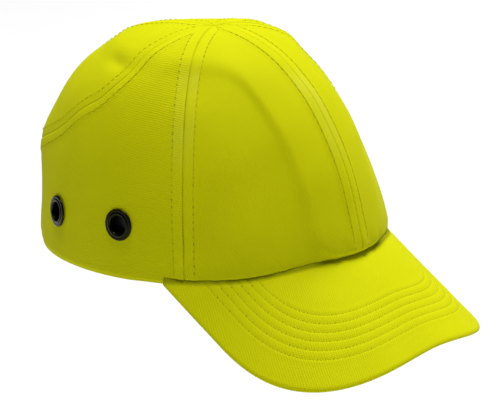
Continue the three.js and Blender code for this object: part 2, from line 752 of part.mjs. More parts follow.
// The inner strap is sewn inside the wearer's left edge of the opening and carries the loop pile.
// The outer strap is sewn inside the right edge, comes out through the opening, lies over the
// inner one and carries the hooks. Past STRAP_HINGE it peels away.
const STRAP_SEWN = 144;         // heading where a strap's sewn end starts, on its own side
const STRAP_HINGE = 194;
const STRAP_UNDER = 203;        // heading by which the outer strap is back under the cover
const OUTER_TIP = 160;
const INNER_TIP = 192;
const INNER_DEPTH = COVER_THICK + GAP + 0.8;
const LOOP_DEPTH = INNER_DEPTH - GAP - PILE_THICK;
const HOOK_DEPTH = LOOP_DEPTH - GAP - PILE_THICK;
const OUTER_DEPTH = HOOK_DEPTH - GAP - STRAP_THICK;

function outerStrapDepth(degrees) {
  return lerp(OUTER_DEPTH, INNER_DEPTH, smooth(degrees, STRAP_HINGE, STRAP_UNDER));
}

const onInner = () => INNER_DEPTH;
const pile = { low: STRAP_LOW + PILE_MARGIN, height: STRAP_HEIGHT - 2 * PILE_MARGIN };
add('strap_inner', strap(STRAP_SEWN, INNER_TIP, STRAP_LOW, STRAP_HEIGHT, STRAP_THICK, onInner), STRAP_CLOTH);
add(
  'loop_patch',
  strap(OUTER_TIP - 4, INNER_TIP - 1, pile.low, pile.height, PILE_THICK, () => LOOP_DEPTH),
  PILE,
);
add(
  'strap_outer_root',
  strap(STRAP_HINGE + 0.2, 360 - STRAP_SEWN, STRAP_LOW, STRAP_HEIGHT, STRAP_THICK, outerStrapDepth),
  STRAP_CLOTH,
);
add(
  'strap_outer',
  strap(OUTER_TIP, STRAP_HINGE - 0.2, STRAP_LOW, STRAP_HEIGHT, STRAP_THICK, () => OUTER_DEPTH),
  STRAP_CLOTH,
);
add(
  'hook_patch',
  strap(OUTER_TIP + 2, INNER_TIP - 4, pile.low, pile.height, PILE_THICK, () => HOOK_DEPTH),
  PILE,
);

export default cap;
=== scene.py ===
"""Looks of the bump cap: the sewn cover, its stitching, the peak, the eyelets, the rear strap and
the padded impact shell. Shapes are worked out in millimetres and made in metres."""

import math

import bpy
import numpy as np
from mathutils import Matrix, Vector

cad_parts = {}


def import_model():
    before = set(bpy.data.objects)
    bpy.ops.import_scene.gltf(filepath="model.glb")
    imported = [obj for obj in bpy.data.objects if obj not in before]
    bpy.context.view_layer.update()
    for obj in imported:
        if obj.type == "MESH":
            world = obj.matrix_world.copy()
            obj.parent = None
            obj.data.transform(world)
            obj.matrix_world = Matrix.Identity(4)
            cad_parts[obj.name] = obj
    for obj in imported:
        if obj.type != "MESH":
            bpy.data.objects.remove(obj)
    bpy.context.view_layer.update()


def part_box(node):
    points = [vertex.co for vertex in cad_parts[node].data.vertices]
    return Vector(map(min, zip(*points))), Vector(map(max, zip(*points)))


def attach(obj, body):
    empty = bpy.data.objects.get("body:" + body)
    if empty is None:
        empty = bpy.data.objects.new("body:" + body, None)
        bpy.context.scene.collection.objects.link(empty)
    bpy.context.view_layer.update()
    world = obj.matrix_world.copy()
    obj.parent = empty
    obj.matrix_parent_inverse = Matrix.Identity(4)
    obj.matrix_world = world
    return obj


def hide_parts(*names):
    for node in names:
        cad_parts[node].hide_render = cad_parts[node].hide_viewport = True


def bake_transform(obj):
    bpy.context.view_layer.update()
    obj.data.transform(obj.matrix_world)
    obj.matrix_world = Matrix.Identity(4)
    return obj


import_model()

MM = 0.001
RAD = math.pi / 180


def smooth(x, low, high):
    """0 below low, 1 above high, and a soft step between."""
    k = np.clip((x - low) / (high - low), 0.0, 1.0)
    return k * k * (3 - 2 * k)


def unit(vectors):
    """Vectors brought to length 1."""
    return vectors / np.linalg.norm(vectors, axis=-1, keepdims=True)


def lengths_along(points):
    """Length of a line of points from its first point to each of them."""
    return np.concatenate([[0], np.cumsum(np.linalg.norm(np.diff(points, axis=0), axis=1))])


# ---- the crown's surface ------------------------------------------------------------------
# A heading is 0 at the front, 90 at the wearer's left (+X) and 180 at the back. It is in degrees,
# but the functions that work with theta take it in radians. t climbs from the lower edge (0) to the
# apex (1).

HALF_WIDTH = float(round(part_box("side_panel_left")[1][0] / MM))
FRONT_LENGTH = 103.5
BACK_LENGTH = 106.0
CROWN_HEIGHT = 119.5
APEX_Y = -6.8
COVER_THICK = 0.9
RIM_POWER = 1.95        # squareness of the plan at the lower edge
POWER_FALL = 0.45       # and how much rounder it is at the apex
SHRINK = (0.89, 0.715, 0.75)    # how the crown closes and rises at the front, side and back
RISE = (1.1, 0.79, 0.59)
RIM_FADE = 1.5

PEAK_THICK = 3.2
PEAK_ROOT = 65.0        # heading where the peak leaves the crown
PEAK_SPREAD = 80.0      # half width over which the peak arches
PEAK_TOP = 8.7          # height of its upper face at the middle of the brow
PEAK_ARCH = 44.0        # and how much lower it is at its full spread
PEAK_SLOPE = 0.82       # it falls forwards by this share of the way
PEAK_SLOPE_FALL = 0.2
PEAK_FADE = (50, 80)    # headings between which the lower edge leaves the peak

CREST_HALF_WIDTH = 50.0
CREST_REAR = 68.0
CREST_Y = -10.0
CREST_FRONT = 28.5
CREST_FOOT = 9.5        # height of the crest's lower edge over the brow
CREST_CORNER = 15.0
CREST_SPAN = 20.0       # where the stretched cover beside it lies deepest
CREST_EDGE = 7.0        # half width of the crest's soft edge, and how much crisper the front's is
CREST_CRISP = 5.2
CREST_UP = 1.3          # height of the crest, and how much higher it stands in front
CREST_UP_FRONT = 1.1
CREST_DOWN = 1.75       # depth of the hollow beside it in front, and further back
CREST_DOWN_BACK = 0.9

BROW_BULGE = 2.6        # the crown stands out low down beside the forehead
BROW_HEADING, BROW_T, BROW_T_SPREAD = 36, 0.08, 0.11
NAPE_BULGE = 2.2        # and the back is fuller half way up, over a slight waist
NAPE_HEADING, NAPE_T, NAPE_T_SPREAD = 151, 0.22, 0.08
WAIST, WAIST_T, WAIST_T_SPREAD = 0.45, 0.05, 0.07
BULGE_SPREAD = 15


def bell(x, middle, spread):
    """1 at the middle, falling away to nothing over the spread."""
    return np.exp(-((x - middle) / spread) ** 2)


def turned_from_front(theta):
    """Degrees between a heading in radians and the front, from 0 to 180."""
    return np.abs(np.arctan2(np.sin(theta), np.cos(theta))) / RAD


def rim_radius(theta, power):
    """Reach of the crown's plain oval at a heading in radians."""
    length = np.where(np.cos(theta) > 0, FRONT_LENGTH, BACK_LENGTH)
    side = (np.abs(np.sin(theta)) / HALF_WIDTH) ** power
    fore = (np.abs(np.cos(theta)) / length) ** power
    return (side + fore) ** (-1 / power)


def fullness(theta, t):
    """How far the crown stands out beyond its plain oval."""
    heading = turned_from_front(theta)
    lobe = bell(heading, BROW_HEADING, BULGE_SPREAD) * bell(t, BROW_T, BROW_T_SPREAD)
    brow = BROW_BULGE * lobe * smooth(t, -0.03, 0.05)
    nape = bell(t, NAPE_T, NAPE_T_SPREAD) - WAIST * bell(t, WAIST_T, WAIST_T_SPREAD)
    return brow + NAPE_BULGE * bell(heading, NAPE_HEADING, BULGE_SPREAD) * nape


def peak_height(x, y):
    """Height of the peak's upper face over the plan."""
    across = (x / PEAK_SPREAD) ** 2
    slope = PEAK_SLOPE - PEAK_SLOPE_FALL * across
    return PEAK_TOP - PEAK_ARCH * across + slope * (y + FRONT_LENGTH)


def rim_height(theta):
    """The lower edge rises with the arch of the peak at the front."""
    r = rim_radius(theta, RIM_POWER) + fullness(theta, 0.0)
    under = peak_height(r * np.sin(theta), -r * np.cos(theta)) - PEAK_THICK
    return under * (1 - smooth(turned_from_front(theta), *PEAK_FADE))


def by_heading(theta, front, side, back):
    """A value that runs from front over side to back with the heading."""
    f = np.maximum(np.cos(theta), 0) ** 2
    b = np.maximum(-np.cos(theta), 0) ** 2
    return front * f + side * (1 - f - b) + back * b


def plain_crown(theta, t):
    """Points of the crown without its crest, for headings in radians."""
    climb = t * math.pi / 2
    radius = rim_radius(theta, RIM_POWER - POWER_FALL * t) + fullness(theta, t)
    shrink = np.maximum(np.cos(climb), 0) ** by_heading(theta, *SHRINK)
    base = rim_height(theta) * (1 - t) ** RIM_FADE
    rise = np.maximum(np.sin(climb), 0) ** by_heading(theta, *RISE)
    x = radius * shrink * np.sin(theta)
    y = -radius * shrink * np.cos(theta) + APEX_Y * (1 - shrink)
    return np.stack([x, y, base + (CROWN_HEIGHT - base) * rise], -1)


def axes(points):
    """The x, y and z of an array of points."""
    return points[..., 0], points[..., 1], points[..., 2]


def crest_offset(points):
    """How far the shell's raised crest lifts or hollows the surface at a point."""
    x, y, z = axes(points)
    dy = y - CREST_Y
    oval = np.maximum(np.hypot(x / CREST_HALF_WIDTH, dy / CREST_REAR), 1e-6)
    rear = (1 - oval) * np.hypot(x, dy) / oval
    widening = smooth(y, -55, CREST_Y) ** 1.3
    strip = CREST_FRONT + (CREST_HALF_WIDTH - CREST_FRONT) * widening - np.abs(x)
    above = z - CREST_FOOT
    from_side, from_foot = CREST_CORNER - strip, CREST_CORNER - above
    corner = CREST_CORNER - np.hypot(np.maximum(from_side, 0), np.maximum(from_foot, 0))
    strip = np.where((from_side > 0) & (from_foot > 0), corner, np.minimum(strip, above))
    inside = np.where(y > CREST_Y, rear, strip)
    front = 1 - smooth(y, -62, -28)
    width = CREST_EDGE - CREST_CRISP * front
    on = smooth(inside, -width, width)
    away = (np.sqrt(inside ** 2 + width ** 2 / 4) - inside) / 2
    stretch = away / CREST_SPAN
    down = CREST_DOWN + (CREST_DOWN_BACK - CREST_DOWN) * smooth(y, -45, 10)
    hollow = down * stretch * np.exp(1 - stretch) * smooth(z, -6, 24)
    up = CREST_UP + CREST_UP_FRONT * front * (1 - smooth(z, 12, 36))
    return up * on * smooth(z, -5, 10 + 34 * (1 - front)) - hollow


def crown(degrees, t, depth=0.0):
    """Points of the crown at a depth below the cover's outer face, and the way out there."""
    theta = np.asarray(degrees, float) * RAD
    t = np.asarray(t, float)
    e = 1e-3
    tn = np.clip(t, 2 * e, 1 - 4 * e)
    around = plain_crown(theta + e, tn) - plain_crown(theta - e, tn)
    upward = plain_crown(theta, tn + e) - plain_crown(theta, tn - e)
    normal = unit(np.cross(around, upward))
    point = plain_crown(theta, t)
    lift = crest_offset(point) - depth
    return point + normal * lift[..., None], normal


# ---- seams --------------------------------------------------------------------------------

APEX_T = 0.998
SIDE_SEAM = [(58, 0), (59, 0.35), (61, 0.7), (63.5, APEX_T)]
BAND_SEAM = [
    (167, 0.13), (150, 0.19), (130, 0.3), (115.5, 0.427), (106, 0.5), (98.5, 0.62),
    (96, 0.74), (94, 0.86), (96, APEX_T),
]
ARCH_HALF_WIDTH = 47.0
ARCH_HEIGHT = 46.0
PANEL_MARGIN = 2.6      # the panels stop this far outside the arch, and the binding fills it
LINE_POINTS = 400       # points of a dense line along a seam
CHUNK = 20000           # points looked up at a time


def catmull_rom(a, b, c, d, f):
    """The place at a share f of the way from b to c, on a smooth curve that comes from a to d."""
    return 0.5 * (2 * b + (c - a) * f + (2 * a - 5 * b + 4 * c - d) * f ** 2
                  + (3 * b - a - 3 * c + d) * f ** 3)


def through(points, k):
    """Catmull-Rom curve through (heading, t) points; k is an array of shares from 0 to 1."""
    pts = np.array(points, float)
    pts = np.vstack([2 * pts[0] - pts[1], pts, 2 * pts[-1] - pts[-2]])
    place = np.clip(np.asarray(k, float), 0, 1) * (len(points) - 1)
    i = np.minimum(place.astype(int), len(points) - 2)
    return catmull_rom(pts[i], pts[i + 1], pts[i + 2], pts[i + 3], (place - i)[..., None])


def t_at_height(degrees, height):
    """The t at which the plain crown stands at a height."""
    theta = np.asarray(degrees, float) * RAD
    low = np.zeros(np.broadcast(theta, height).shape)
    high = np.ones_like(low)
    for _ in range(26):
        mid = (low + high) / 2
        below = plain_crown(theta, mid)[..., 2] < height
        low = np.where(below, mid, low)
        high = np.where(below, high, mid)
    return (low + high) / 2


def arch(k, margin=0.0):
    """(heading, t) along the rear opening's edge: 0 at the lower edge, 1 on the centre line."""
    k = np.asarray(k, float)
    x = (ARCH_HALF_WIDTH + margin) * np.cos(k * math.pi / 2)
    height = (ARCH_HEIGHT + margin) * np.sin(k * math.pi / 2)
    heading = np.full(k.shape, 180.0)
    for _ in range(6):
        y = plain_crown(heading * RAD, t_at_height(heading, height))[..., 1]
        heading = 180 - np.arctan2(x, y) / RAD
    return np.stack([heading, t_at_height(heading, height)], -1)


def arch_join():
    """Share of the arch where the band seam ends."""
    shares = np.linspace(0, 1, 201)
    points = arch(shares, PANEL_MARGIN)
    return float(np.interp(BAND_SEAM[0][0], points[:, 0], shares))


ARCH_JOIN = arch_join()
BAND_SEAM[0] = (BAND_SEAM[0][0], float(arch(ARCH_JOIN, PANEL_MARGIN)[1]))


SHARES = np.linspace(0, 1, LINE_POINTS)
ARCH_TOP = float(arch(1.0, PANEL_MARGIN)[1])


def mirrored(points, side):
    """(heading, t) points, moved to the other side of the cap where side is -1."""
    return points * np.array([side, 1.0])


def centre_line(heading, low_t, count):
    """(heading, t) points straight up to the apex."""
    return np.stack([np.full(count, heading), np.linspace(low_t, APEX_T, count)], -1)


def seam_lines():
    """Every seam as a dense line of (heading, t), by name."""
    lines = {
        "front": centre_line(0.0, 0.0, LINE_POINTS),
        "back": centre_line(180.0, ARCH_TOP, LINE_POINTS),
    }
    for name, side in (("left", 1), ("right", -1)):
        lines["side_" + name] = mirrored(through(SIDE_SEAM, SHARES), side)
        lines["band_" + name] = mirrored(through(BAND_SEAM, SHARES), side)
    return lines


SEAMS = seam_lines()
SEAM_POINTS = {name: crown(*line.T)[0] for name, line in SEAMS.items()}
SEAM_LENGTHS = {name: lengths_along(points) for name, points in SEAM_POINTS.items()}


def nearest_on_line(points, line, lengths):
    """Distance of each point to a line, and the length along the line at the nearest place."""
    gaps = np.linalg.norm(points[:, None, :] - line[None, ::2, :], axis=2)
    i = np.clip(np.argmin(gaps, axis=1) * 2, 1, len(line) - 2)
    a, ab = line[i - 1], line[i + 1] - line[i - 1]
    share = np.clip(((points - a) * ab).sum(1) / (ab * ab).sum(1), 0, 1)
    gap = np.linalg.norm(points - a - ab * share[:, None], axis=1)
    return gap, lengths[i - 1] + (lengths[i + 1] - lengths[i - 1]) * share


def nearest_seam(points, names):
    """Distance to the nearest named seam, and how far along it the nearest place is.

    The points go through in chunks, which keeps the arrays small.
    """
    flat = points.reshape(-1, 3)
    best = np.full(len(flat), np.inf)
    along = np.zeros(len(flat))
    for name in names:
        for start in range(0, len(flat), CHUNK):
            part = slice(start, start + CHUNK)
            gap, here = nearest_on_line(flat[part], SEAM_POINTS[name], SEAM_LENGTHS[name])
            closer = gap < best[part]
            best[part] = np.where(closer, gap, best[part])
            along[part] = np.where(closer, here, along[part])
    shape = points.shape[:-1]
    return best.reshape(shape), along.reshape(shape)


# ---- lengths along the crown, for the weave ------------------------------------------------

TABLE_HEADINGS = np.linspace(-180, 180, 241)
TABLE_T = np.linspace(0, 1, 81)


def length_tables():
    """Lengths up the crown and round it, over TABLE_HEADINGS and TABLE_T."""
    heading, t = np.meshgrid(TABLE_HEADINGS, TABLE_T, indexing="ij")
    p = plain_crown(heading * RAD, t)
    up = np.zeros(heading.shape)
    up[:, 1:] = np.cumsum(np.linalg.norm(np.diff(p, axis=1), axis=2), axis=1)
    round_ = np.zeros(heading.shape)
    round_[1:, :] = np.cumsum(np.linalg.norm(np.diff(p, axis=0), axis=2), axis=0)
    return up, round_


UP_TABLE, ROUND_TABLE = length_tables()


def bilinear(table, u, v):
    """A table's values at places u and v, from 0 to 1 along its two axes."""
    x = np.clip(u, 0, 1) * (table.shape[0] - 1)
    y = np.clip(v, 0, 1) * (table.shape[1] - 1)
    i = np.minimum(x.astype(int), table.shape[0] - 2)
    j = np.minimum(y.astype(int), table.shape[1] - 2)
    fx, fy = x - i, y - j
    near = table[i, j] * (1 - fy) + table[i, j + 1] * fy
    far = table[i + 1, j] * (1 - fy) + table[i + 1, j + 1] * fy
    return near * (1 - fx) + far * fx


def look_up(table, degrees, t):
    """A length table's values at headings from -180 to 180."""
    return bilinear(table, (degrees + 180) / 360, t)


def cloth_coordinates(degrees, t, centre):
    """Millimetres round the crown from a centre heading, and up from the lower edge."""
    wrapped = (np.asarray(degrees) + 180) % 360 - 180
    if abs(centre) == 180:
        wrapped = np.where(np.sign(wrapped) == np.sign(centre), wrapped, centre)
    middle = np.full(wrapped.shape, float(centre))
    across = look_up(ROUND_TABLE, wrapped, t) - look_up(ROUND_TABLE, middle, t)
    return across, look_up(UP_TABLE, wrapped, t)


def woven(across, up, slope):
    """The cloth attribute: how far across the twill's ribs and along them each point lies."""
    sine, cosine = math.sin(slope * RAD), math.cos(slope * RAD)
    ribs = [across * sine + up * cosine, across * cosine - up * sine, np.zeros(across.shape)]
    return np.stack(ribs, -1).reshape(-1, 3)


# ---- meshes -------------------------------------------------------------------------------

def make_object(name, points, faces, material, smooth_shade=True, **attributes):
    """A mesh object from points in millimetres and faces; attributes hold a vector per point."""
    mesh = bpy.data.meshes.new(name)
    mesh.from_pydata((np.asarray(points) * MM).tolist(), [], [list(map(int, f)) for f in faces])
    mesh.update()
    for key, values in attributes.items():
        layer = mesh.attributes.new(key, "FLOAT_VECTOR", "POINT")
        layer.data.foreach_set("vector", np.asarray(values, np.float32).ravel())
    mesh.polygons.foreach_set("use_smooth", [smooth_shade] * len(mesh.polygons))
    obj = bpy.data.objects.new(name, mesh)
    bpy.context.scene.collection.objects.link(obj)
    obj.data.materials.append(material)
    return obj


def grid_faces(rows, cols, start=0, flip=False, wrap=False):
    """Quads between the rows of a grid of points numbered from start; wrap joins the rows' ends."""
    faces = []
    last = cols if wrap else cols - 1
    for i in range(rows - 1):
        for j in range(last):
            a = start + i * cols + j
            b = start + i * cols + (j + 1) % cols
            quad = (a, b, b + cols, a + cols)
            faces.append(quad[::-1] if flip else quad)
    return faces


def tube_faces(rings, count):
    """Faces of a closed tube: rings of count points each, and a cap on both ends."""
    caps = [tuple(range(count))[::-1], tuple(range((rings - 1) * count, rings * count))]
    return grid_faces(rings, count, wrap=True) + caps


def slab_faces(rows, cols):
    """Faces of a closed slab: an outer grid, an inner grid and the four sides between them."""
    n = rows * cols
    faces = grid_faces(rows, cols) + grid_faces(rows, cols, n, flip=True)
    numbers = np.arange(n).reshape(rows, cols)
    sides = [numbers[0], numbers[1:, -1], numbers[-1, -2::-1], numbers[-2:0:-1, 0]]
    ring = np.concatenate(sides).tolist()
    for a, b in zip(ring, ring[1:] + ring[:1]):
        faces.append((b, a, a + n, b + n))
    return faces


def finish_piece(piece, nodes, body):
    """Say which CAD nodes a piece replaces and which body carries it."""
    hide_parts(*nodes)
    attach(piece, body)
    return piece


def join(name, parts, material, smooth_shade=True):
    """One mesh object out of (points, faces) parts."""
    points, faces, count = [], [], 0
    for part_points, part_faces in parts:
        points.append(np.asarray(part_points, float))
        faces += [tuple(i + count for i in f) for f in part_faces]
        count += len(part_points)
    return make_object(name, np.vstack(points), faces, material, smooth_shade)


# ---- materials ----------------------------------------------------------------------------

class Nodes:
    """A short way to write a material's node tree."""

    def __init__(self, name, **shader):
        self.material = bpy.data.materials.new(name)
        self.material.use_nodes = True
        self.tree = self.material.node_tree
        self.shader = self.tree.nodes["Principled BSDF"]
        for key, value in shader.items():
            self.shader.inputs[key.replace("_", " ")].default_value = value

    def node(self, kind, **settings):
        made = self.tree.nodes.new("ShaderNode" + kind)
        for key, value in settings.items():
            setattr(made, key, value)
        return made

    def link(self, source, target):
        self.tree.links.new(source, target)
        return source

    def feed(self, source, socket):
        """Set a socket to a number or a colour, or link it to another node's output."""
        if isinstance(source, (int, float)):
            socket.default_value = source
        elif isinstance(source, tuple):
            socket.default_value = (*source, 1.0)
        else:
            self.link(source, socket)

    def math(self, operation, a, b=0.0):
        made = self.node("Math", operation=operation)
        self.feed(a, made.inputs[0])
        self.feed(b, made.inputs[1])
        return made.outputs[0]

    def plus(self, a, b):
        return self.math("ADD", a, b)

    def minus(self, a, b):
        return self.math("SUBTRACT", a, b)

    def times(self, a, b):
        return self.math("MULTIPLY", a, b)

    def most(self, a, b):
        return self.math("MAXIMUM", a, b)

    def gap(self, a, b):
        return self.math("ABSOLUTE", self.minus(a, b))

    def wave(self, value, pitch):
        """A sine of a length, one turn for each pitch."""
        return self.math("SINE", self.times(value, 2 * math.pi / pitch))

    def attribute(self, name):
        return self.node("Attribute", attribute_name=name).outputs["Vector"]

    def separate(self, vector):
        made = self.node("SeparateXYZ")
        self.link(vector, made.inputs[0])
        return made.outputs

    def position(self):
        return self.node("TexCoord").outputs["Object"]

    def noise(self, vector, scale, detail=2.0, roughness=0.5):
        made = self.node("TexNoise")
        self.feed(scale, made.inputs["Scale"])
        self.feed(detail, made.inputs["Detail"])
        self.feed(roughness, made.inputs["Roughness"])
        self.link(vector, made.inputs["Vector"])
        return made.outputs["Fac"]

    def above(self, value, low, high):
        """0 below low, 1 above high, and a soft step between."""
        made = self.node("MapRange", interpolation_type="SMOOTHSTEP")
        self.feed(value, made.inputs["Value"])
        self.feed(low, made.inputs["From Min"])
        self.feed(high, made.inputs["From Max"])
        return made.outputs["Result"]

    def below(self, value, low, high):
        """1 below low, 0 above high, and a soft step between."""
        return self.minus(1.0, self.above(value, low, high))

    def ramp(self, value, low, high, to_low=0.0, to_high=1.0):
        made = self.node("MapRange")
        self.feed(value, made.inputs["Value"])
        for source, name in ((low, "From Min"), (high, "From Max"), (to_low, "To Min"), (to_high, "To Max")):
            self.feed(source, made.inputs[name])
        return made.outputs["Result"]

    def patches(self, scale, detail, least, greatest):
        """Soft patches of noise that run between two values."""
        return self.ramp(self.noise(self.position(), scale, detail), 0.35, 0.65, least, greatest)

    def mix(self, factor, a, b):
        made = self.node("Mix", data_type="RGBA")
        self.feed(factor, made.inputs["Factor"])
        self.feed(a, made.inputs["A"])
        self.feed(b, made.inputs["B"])
        return made.outputs["Result"]

    def color(self, source):
        self.feed(source, self.shader.inputs["Base Color"])

    def roughness(self, source):
        self.link(source, self.shader.inputs["Roughness"])

    def bump(self, height, strength, distance):
        made = self.node("Bump")
        self.feed(strength, made.inputs["Strength"])
        self.feed(distance, made.inputs["Distance"])
        self.link(height, made.inputs["Height"])
        self.link(made.outputs["Normal"], self.shader.inputs["Normal"])


RIB_PITCH = 1.2
WEFT_PITCH = 0.8
STITCH_PITCH = 3.85
STITCH_HOLE = 0.8       # half length of the dark mark where a stitch enters the cloth
SEAM_TOOTH = 1.15       # the twill's ribs meet the seam in small teeth
LIME = (0.77, 0.79, 0.002)
LIME_SHADE = (0.63, 0.64, 0.001)
LIME_DOUBLED = (0.86, 0.88, 0.004)
# painted sheen: a paler, whiter lime for the raised seam cloth high up in front
LIME_PAINTED_SHEEN = (0.82, 0.84, 0.11)
MARK_SHADE = 0.2        # share of the cloth's colour left in seam lines and needle holes
PEAK_ROW_FIRST = 10.8   # plan insets of the peak's stitch rows
PEAK_ROW_STEP = 3.44
PEAK_ROW_COUNT = 6
PEAK_PITCH = 4.2
PEAK_HOLE = 0.38
HEM_SHADOW_DARKNESS = 0.7        # painted shadow: the peak darkens this much in a line along the crown's hem, and fades out
HEM_SHADOW_BAND = (0.5, 2.4)


def twill_height(n):
    """Ribs of twill across the cloth attribute's first axis, with the weft crossing them."""
    cloth = n.attribute("cloth")
    x, y, _ = n.separate(cloth)
    rib = n.wave(n.plus(x, n.times(n.noise(cloth, 0.16), 1.4)), RIB_PITCH)
    weft = n.wave(n.plus(y, n.times(x, 0.6)), WEFT_PITCH)
    return n.times(n.plus(n.times(rib, 0.5), n.times(weft, 0.2)), n.patches(26.0, 2.0, 0.45, 1.2))


def row_marks(n, beside, along, pitch, length):
    """A stitch row's groove and needle holes, from the distance to it and the length along it."""
    share = n.math("FRACT", n.plus(n.math("DIVIDE", along, pitch), 0.56))
    place = n.times(n.gap(share, 0.5), pitch)
    reach = n.most(n.math("DIVIDE", beside, 0.4), n.math("DIVIDE", place, length))
    hole = n.times(n.below(reach, 0.65, 1.15), n.patches(170.0, 1.0, 0.2, 0.6))
    return n.most(n.times(n.below(beside, 0.1, 0.45), n.patches(40.0, 1.0, 0.0, 0.12)), hole)


def seam_marks(n):
    """Dark seam line, topstitch row and needle holes, from (gap, along, row) in the seam attribute."""
    gap, along, row = n.separate(n.attribute("seam"))
    line = n.below(gap, 0.05, n.ramp(n.wave(along, SEAM_TOOTH), -1, 1, 0.22, 0.7))
    rows = row_marks(n, n.gap(gap, row), along, STITCH_PITCH, STITCH_HOLE)
    return n.most(n.times(line, n.patches(60.0, 2.0, 0.2, 0.6)), rows)


def peak_marks(n):
    """The peak's parallel rows and the painted shadow along the crown's hem, from (inset, along, out) in the
    seam attribute.
    """
    inset, along, out = n.separate(n.attribute("seam"))
    number = n.math("ROUND", n.math("DIVIDE", n.minus(inset, PEAK_ROW_FIRST), PEAK_ROW_STEP))
    number = n.math("MINIMUM", n.most(number, 0.0), PEAK_ROW_COUNT - 1.0)
    row = n.plus(n.times(number, PEAK_ROW_STEP), PEAK_ROW_FIRST)
    rows = row_marks(n, n.gap(inset, row), along, PEAK_PITCH, PEAK_HOLE)
    # painted shadow: the peak is darkened just outside its root, where the crown's hem overhangs it
    return n.most(rows, n.times(n.below(out, *HEM_SHADOW_BAND), HEM_SHADOW_DARKNESS))


def doubled_cloth(n):
    """Share of the doubled, raised cloth beside a seam, and of its painted sheen, high up in front where the
    light catches it.
    """
    gap, _, row = n.separate(n.attribute("seam"))
    doubled = n.below(n.minus(gap, row), -0.5, 0.7)
    _, back, height = n.separate(n.position())
    place = n.times(n.above(height, 0.05, 0.085), n.below(height, 0.095, 0.112))
    place = n.times(place, n.below(back, -0.012, 0.0))
    # patches of the painted sheen
    sheen_patches = n.ramp(n.noise(n.position(), 35.0, 3.0), 0.35, 0.7)
    return doubled, n.times(doubled, n.times(place, sheen_patches))


def twill(name, marks_of=None):
    """Hi-vis twill. marks_of draws its seam lines, stitch rows and needle holes."""
    n = Nodes(name, Roughness=0.8, Specular_IOR_Level=0.05, Sheen_Weight=0.03, Sheen_Roughness=0.45,
              Sheen_Tint=(1.0, 1.0, 0.2, 1.0))
    ribs = twill_height(n)
    blotch = n.noise(n.position(), 38.0, 3.0)
    fleck = n.noise(n.attribute("cloth"), 1.3, 2.0, 0.7)
    tone = n.mix(n.ramp(blotch, 0.3, 0.7, 0.0, 0.35), LIME, LIME_SHADE)
    if marks_of is seam_marks:
        doubled, painted_sheen = doubled_cloth(n)
        tone = n.mix(n.times(doubled, 0.4), tone, LIME_DOUBLED)
        # painted sheen: the raised seam cloth high up in front is paled where the light catches it
        tone = n.mix(n.times(painted_sheen, 0.6), tone, LIME_PAINTED_SHEEN)
    tone = n.mix(n.ramp(ribs, -0.6, 0.6, 0.8, 0.0), tone, LIME_SHADE)
    tone = n.mix(n.ramp(fleck, 0.35, 0.75, 0.0, 0.4), tone, LIME_SHADE)
    height = n.plus(ribs, n.times(fleck, 0.5))
    if marks_of:
        marks = marks_of(n)
        tone = n.mix(marks, tone, tuple(c * MARK_SHADE for c in LIME))
        height = n.minus(height, n.times(marks, 1.4))
    n.color(tone)
    n.bump(height, 0.4, 0.00018)
    return n.material


TWILL = twill("hi_vis_twill", seam_marks)
PEAK_TWILL = twill("hi_vis_peak", peak_marks)
PLAIN_TWILL = twill("hi_vis_lining")


# ---- the cover's panels -------------------------------------------------------------------

ROW_GAP = 5.7           # topstitch row from the seam
BAND_UP = 0.42          # rise of the doubled cloth beside a seam, and the dent of its stitch row
GROOVE = -0.17
HEM_ROLL = -0.7         # how far the hem turns in at its foot, and where it sits on the peak
HEM_TUCK = -1.6
LIP_UP = 0.3            # a panel's rise where it lies over its neighbour's seam
LOOSE_FIRMNESS = 0.3    # what is left of the stitching's relief where the cloth hangs over it
FOLD_PLACE = np.array([47.5, 22.0, 106.0])    # the left crease: its middle, its way and its size
FOLD_WAY = np.array([14.0, -26.0, -2.0])
FOLD_DEPTH, FOLD_WIDTH, FOLD_LENGTH = -1.2, 4.5, 12.0
NEAR_APEX = 100         # height over which the seams meet
FAR = 50                # stands for a distance at which nothing shows
NO_ROW = -100.0         # stands for a stitch row that doesn't show
EDGE_COLUMNS = [0, 0.25, 0.6, 1.1, 1.8, 2.8, 3.9, 4.7, 5.2, 5.5, 5.8, 6.1, 6.6, 7.4, 8.6, 10.4, 13.0]


def column_places(width, middle):
    """Where a row's columns stand, in millimetres: close together near both edges."""
    edge = np.array(EDGE_COLUMNS) * min(1.0, 0.42 * width / EDGE_COLUMNS[-1])
    inner = np.linspace(edge[-1], width - edge[-1], middle + 2)[1:-1]
    return np.concatenate([edge, inner, width - edge[::-1]])


def panel_grid(from_line, to_line, middle):
    """(heading, t) of a panel's grid: rows join matching points of two lines of (heading, t)."""
    shares = np.linspace(0, 1, 60)
    rows = []
    for a, b in zip(from_line, to_line):
        line = a + (b - a) * shares[:, None]
        lengths = lengths_along(plain_crown(line[:, 0] * RAD, line[:, 1]))
        k = np.interp(column_places(lengths[-1], middle), lengths, shares)
        rows.append(a + (b - a) * k[:, None])
    return np.array(rows)


def even_rows(line, count):
    """count points along a dense (heading, t) line, evenly spaced in space."""
    lengths = lengths_along(plain_crown(line[:, 0] * RAD, line[:, 1]))
    places = np.linspace(0, lengths[-1], count)
    return np.stack([np.interp(places, lengths, line[:, i]) for i in range(2)], -1)


def over_the_peak(degrees):
    """1 where the crown stands on the peak, 0 behind the peak's roots."""
    return 1 - smooth(np.abs(degrees), PEAK_ROOT - 6, PEAK_ROOT + 2)


def back_fold(points):
    """The soft crease where each back panel hangs loose over its curved seam."""
    from_middle = np.concatenate([np.abs(points[..., :1]), points[..., 1:]], -1) - FOLD_PLACE
    way = unit(FOLD_WAY)
    along = from_middle @ way
    beside = np.linalg.norm(from_middle - along[..., None] * way, axis=-1)
    return FOLD_DEPTH * bell(beside, 0, FOLD_WIDTH) * bell(along, 0, FOLD_LENGTH)


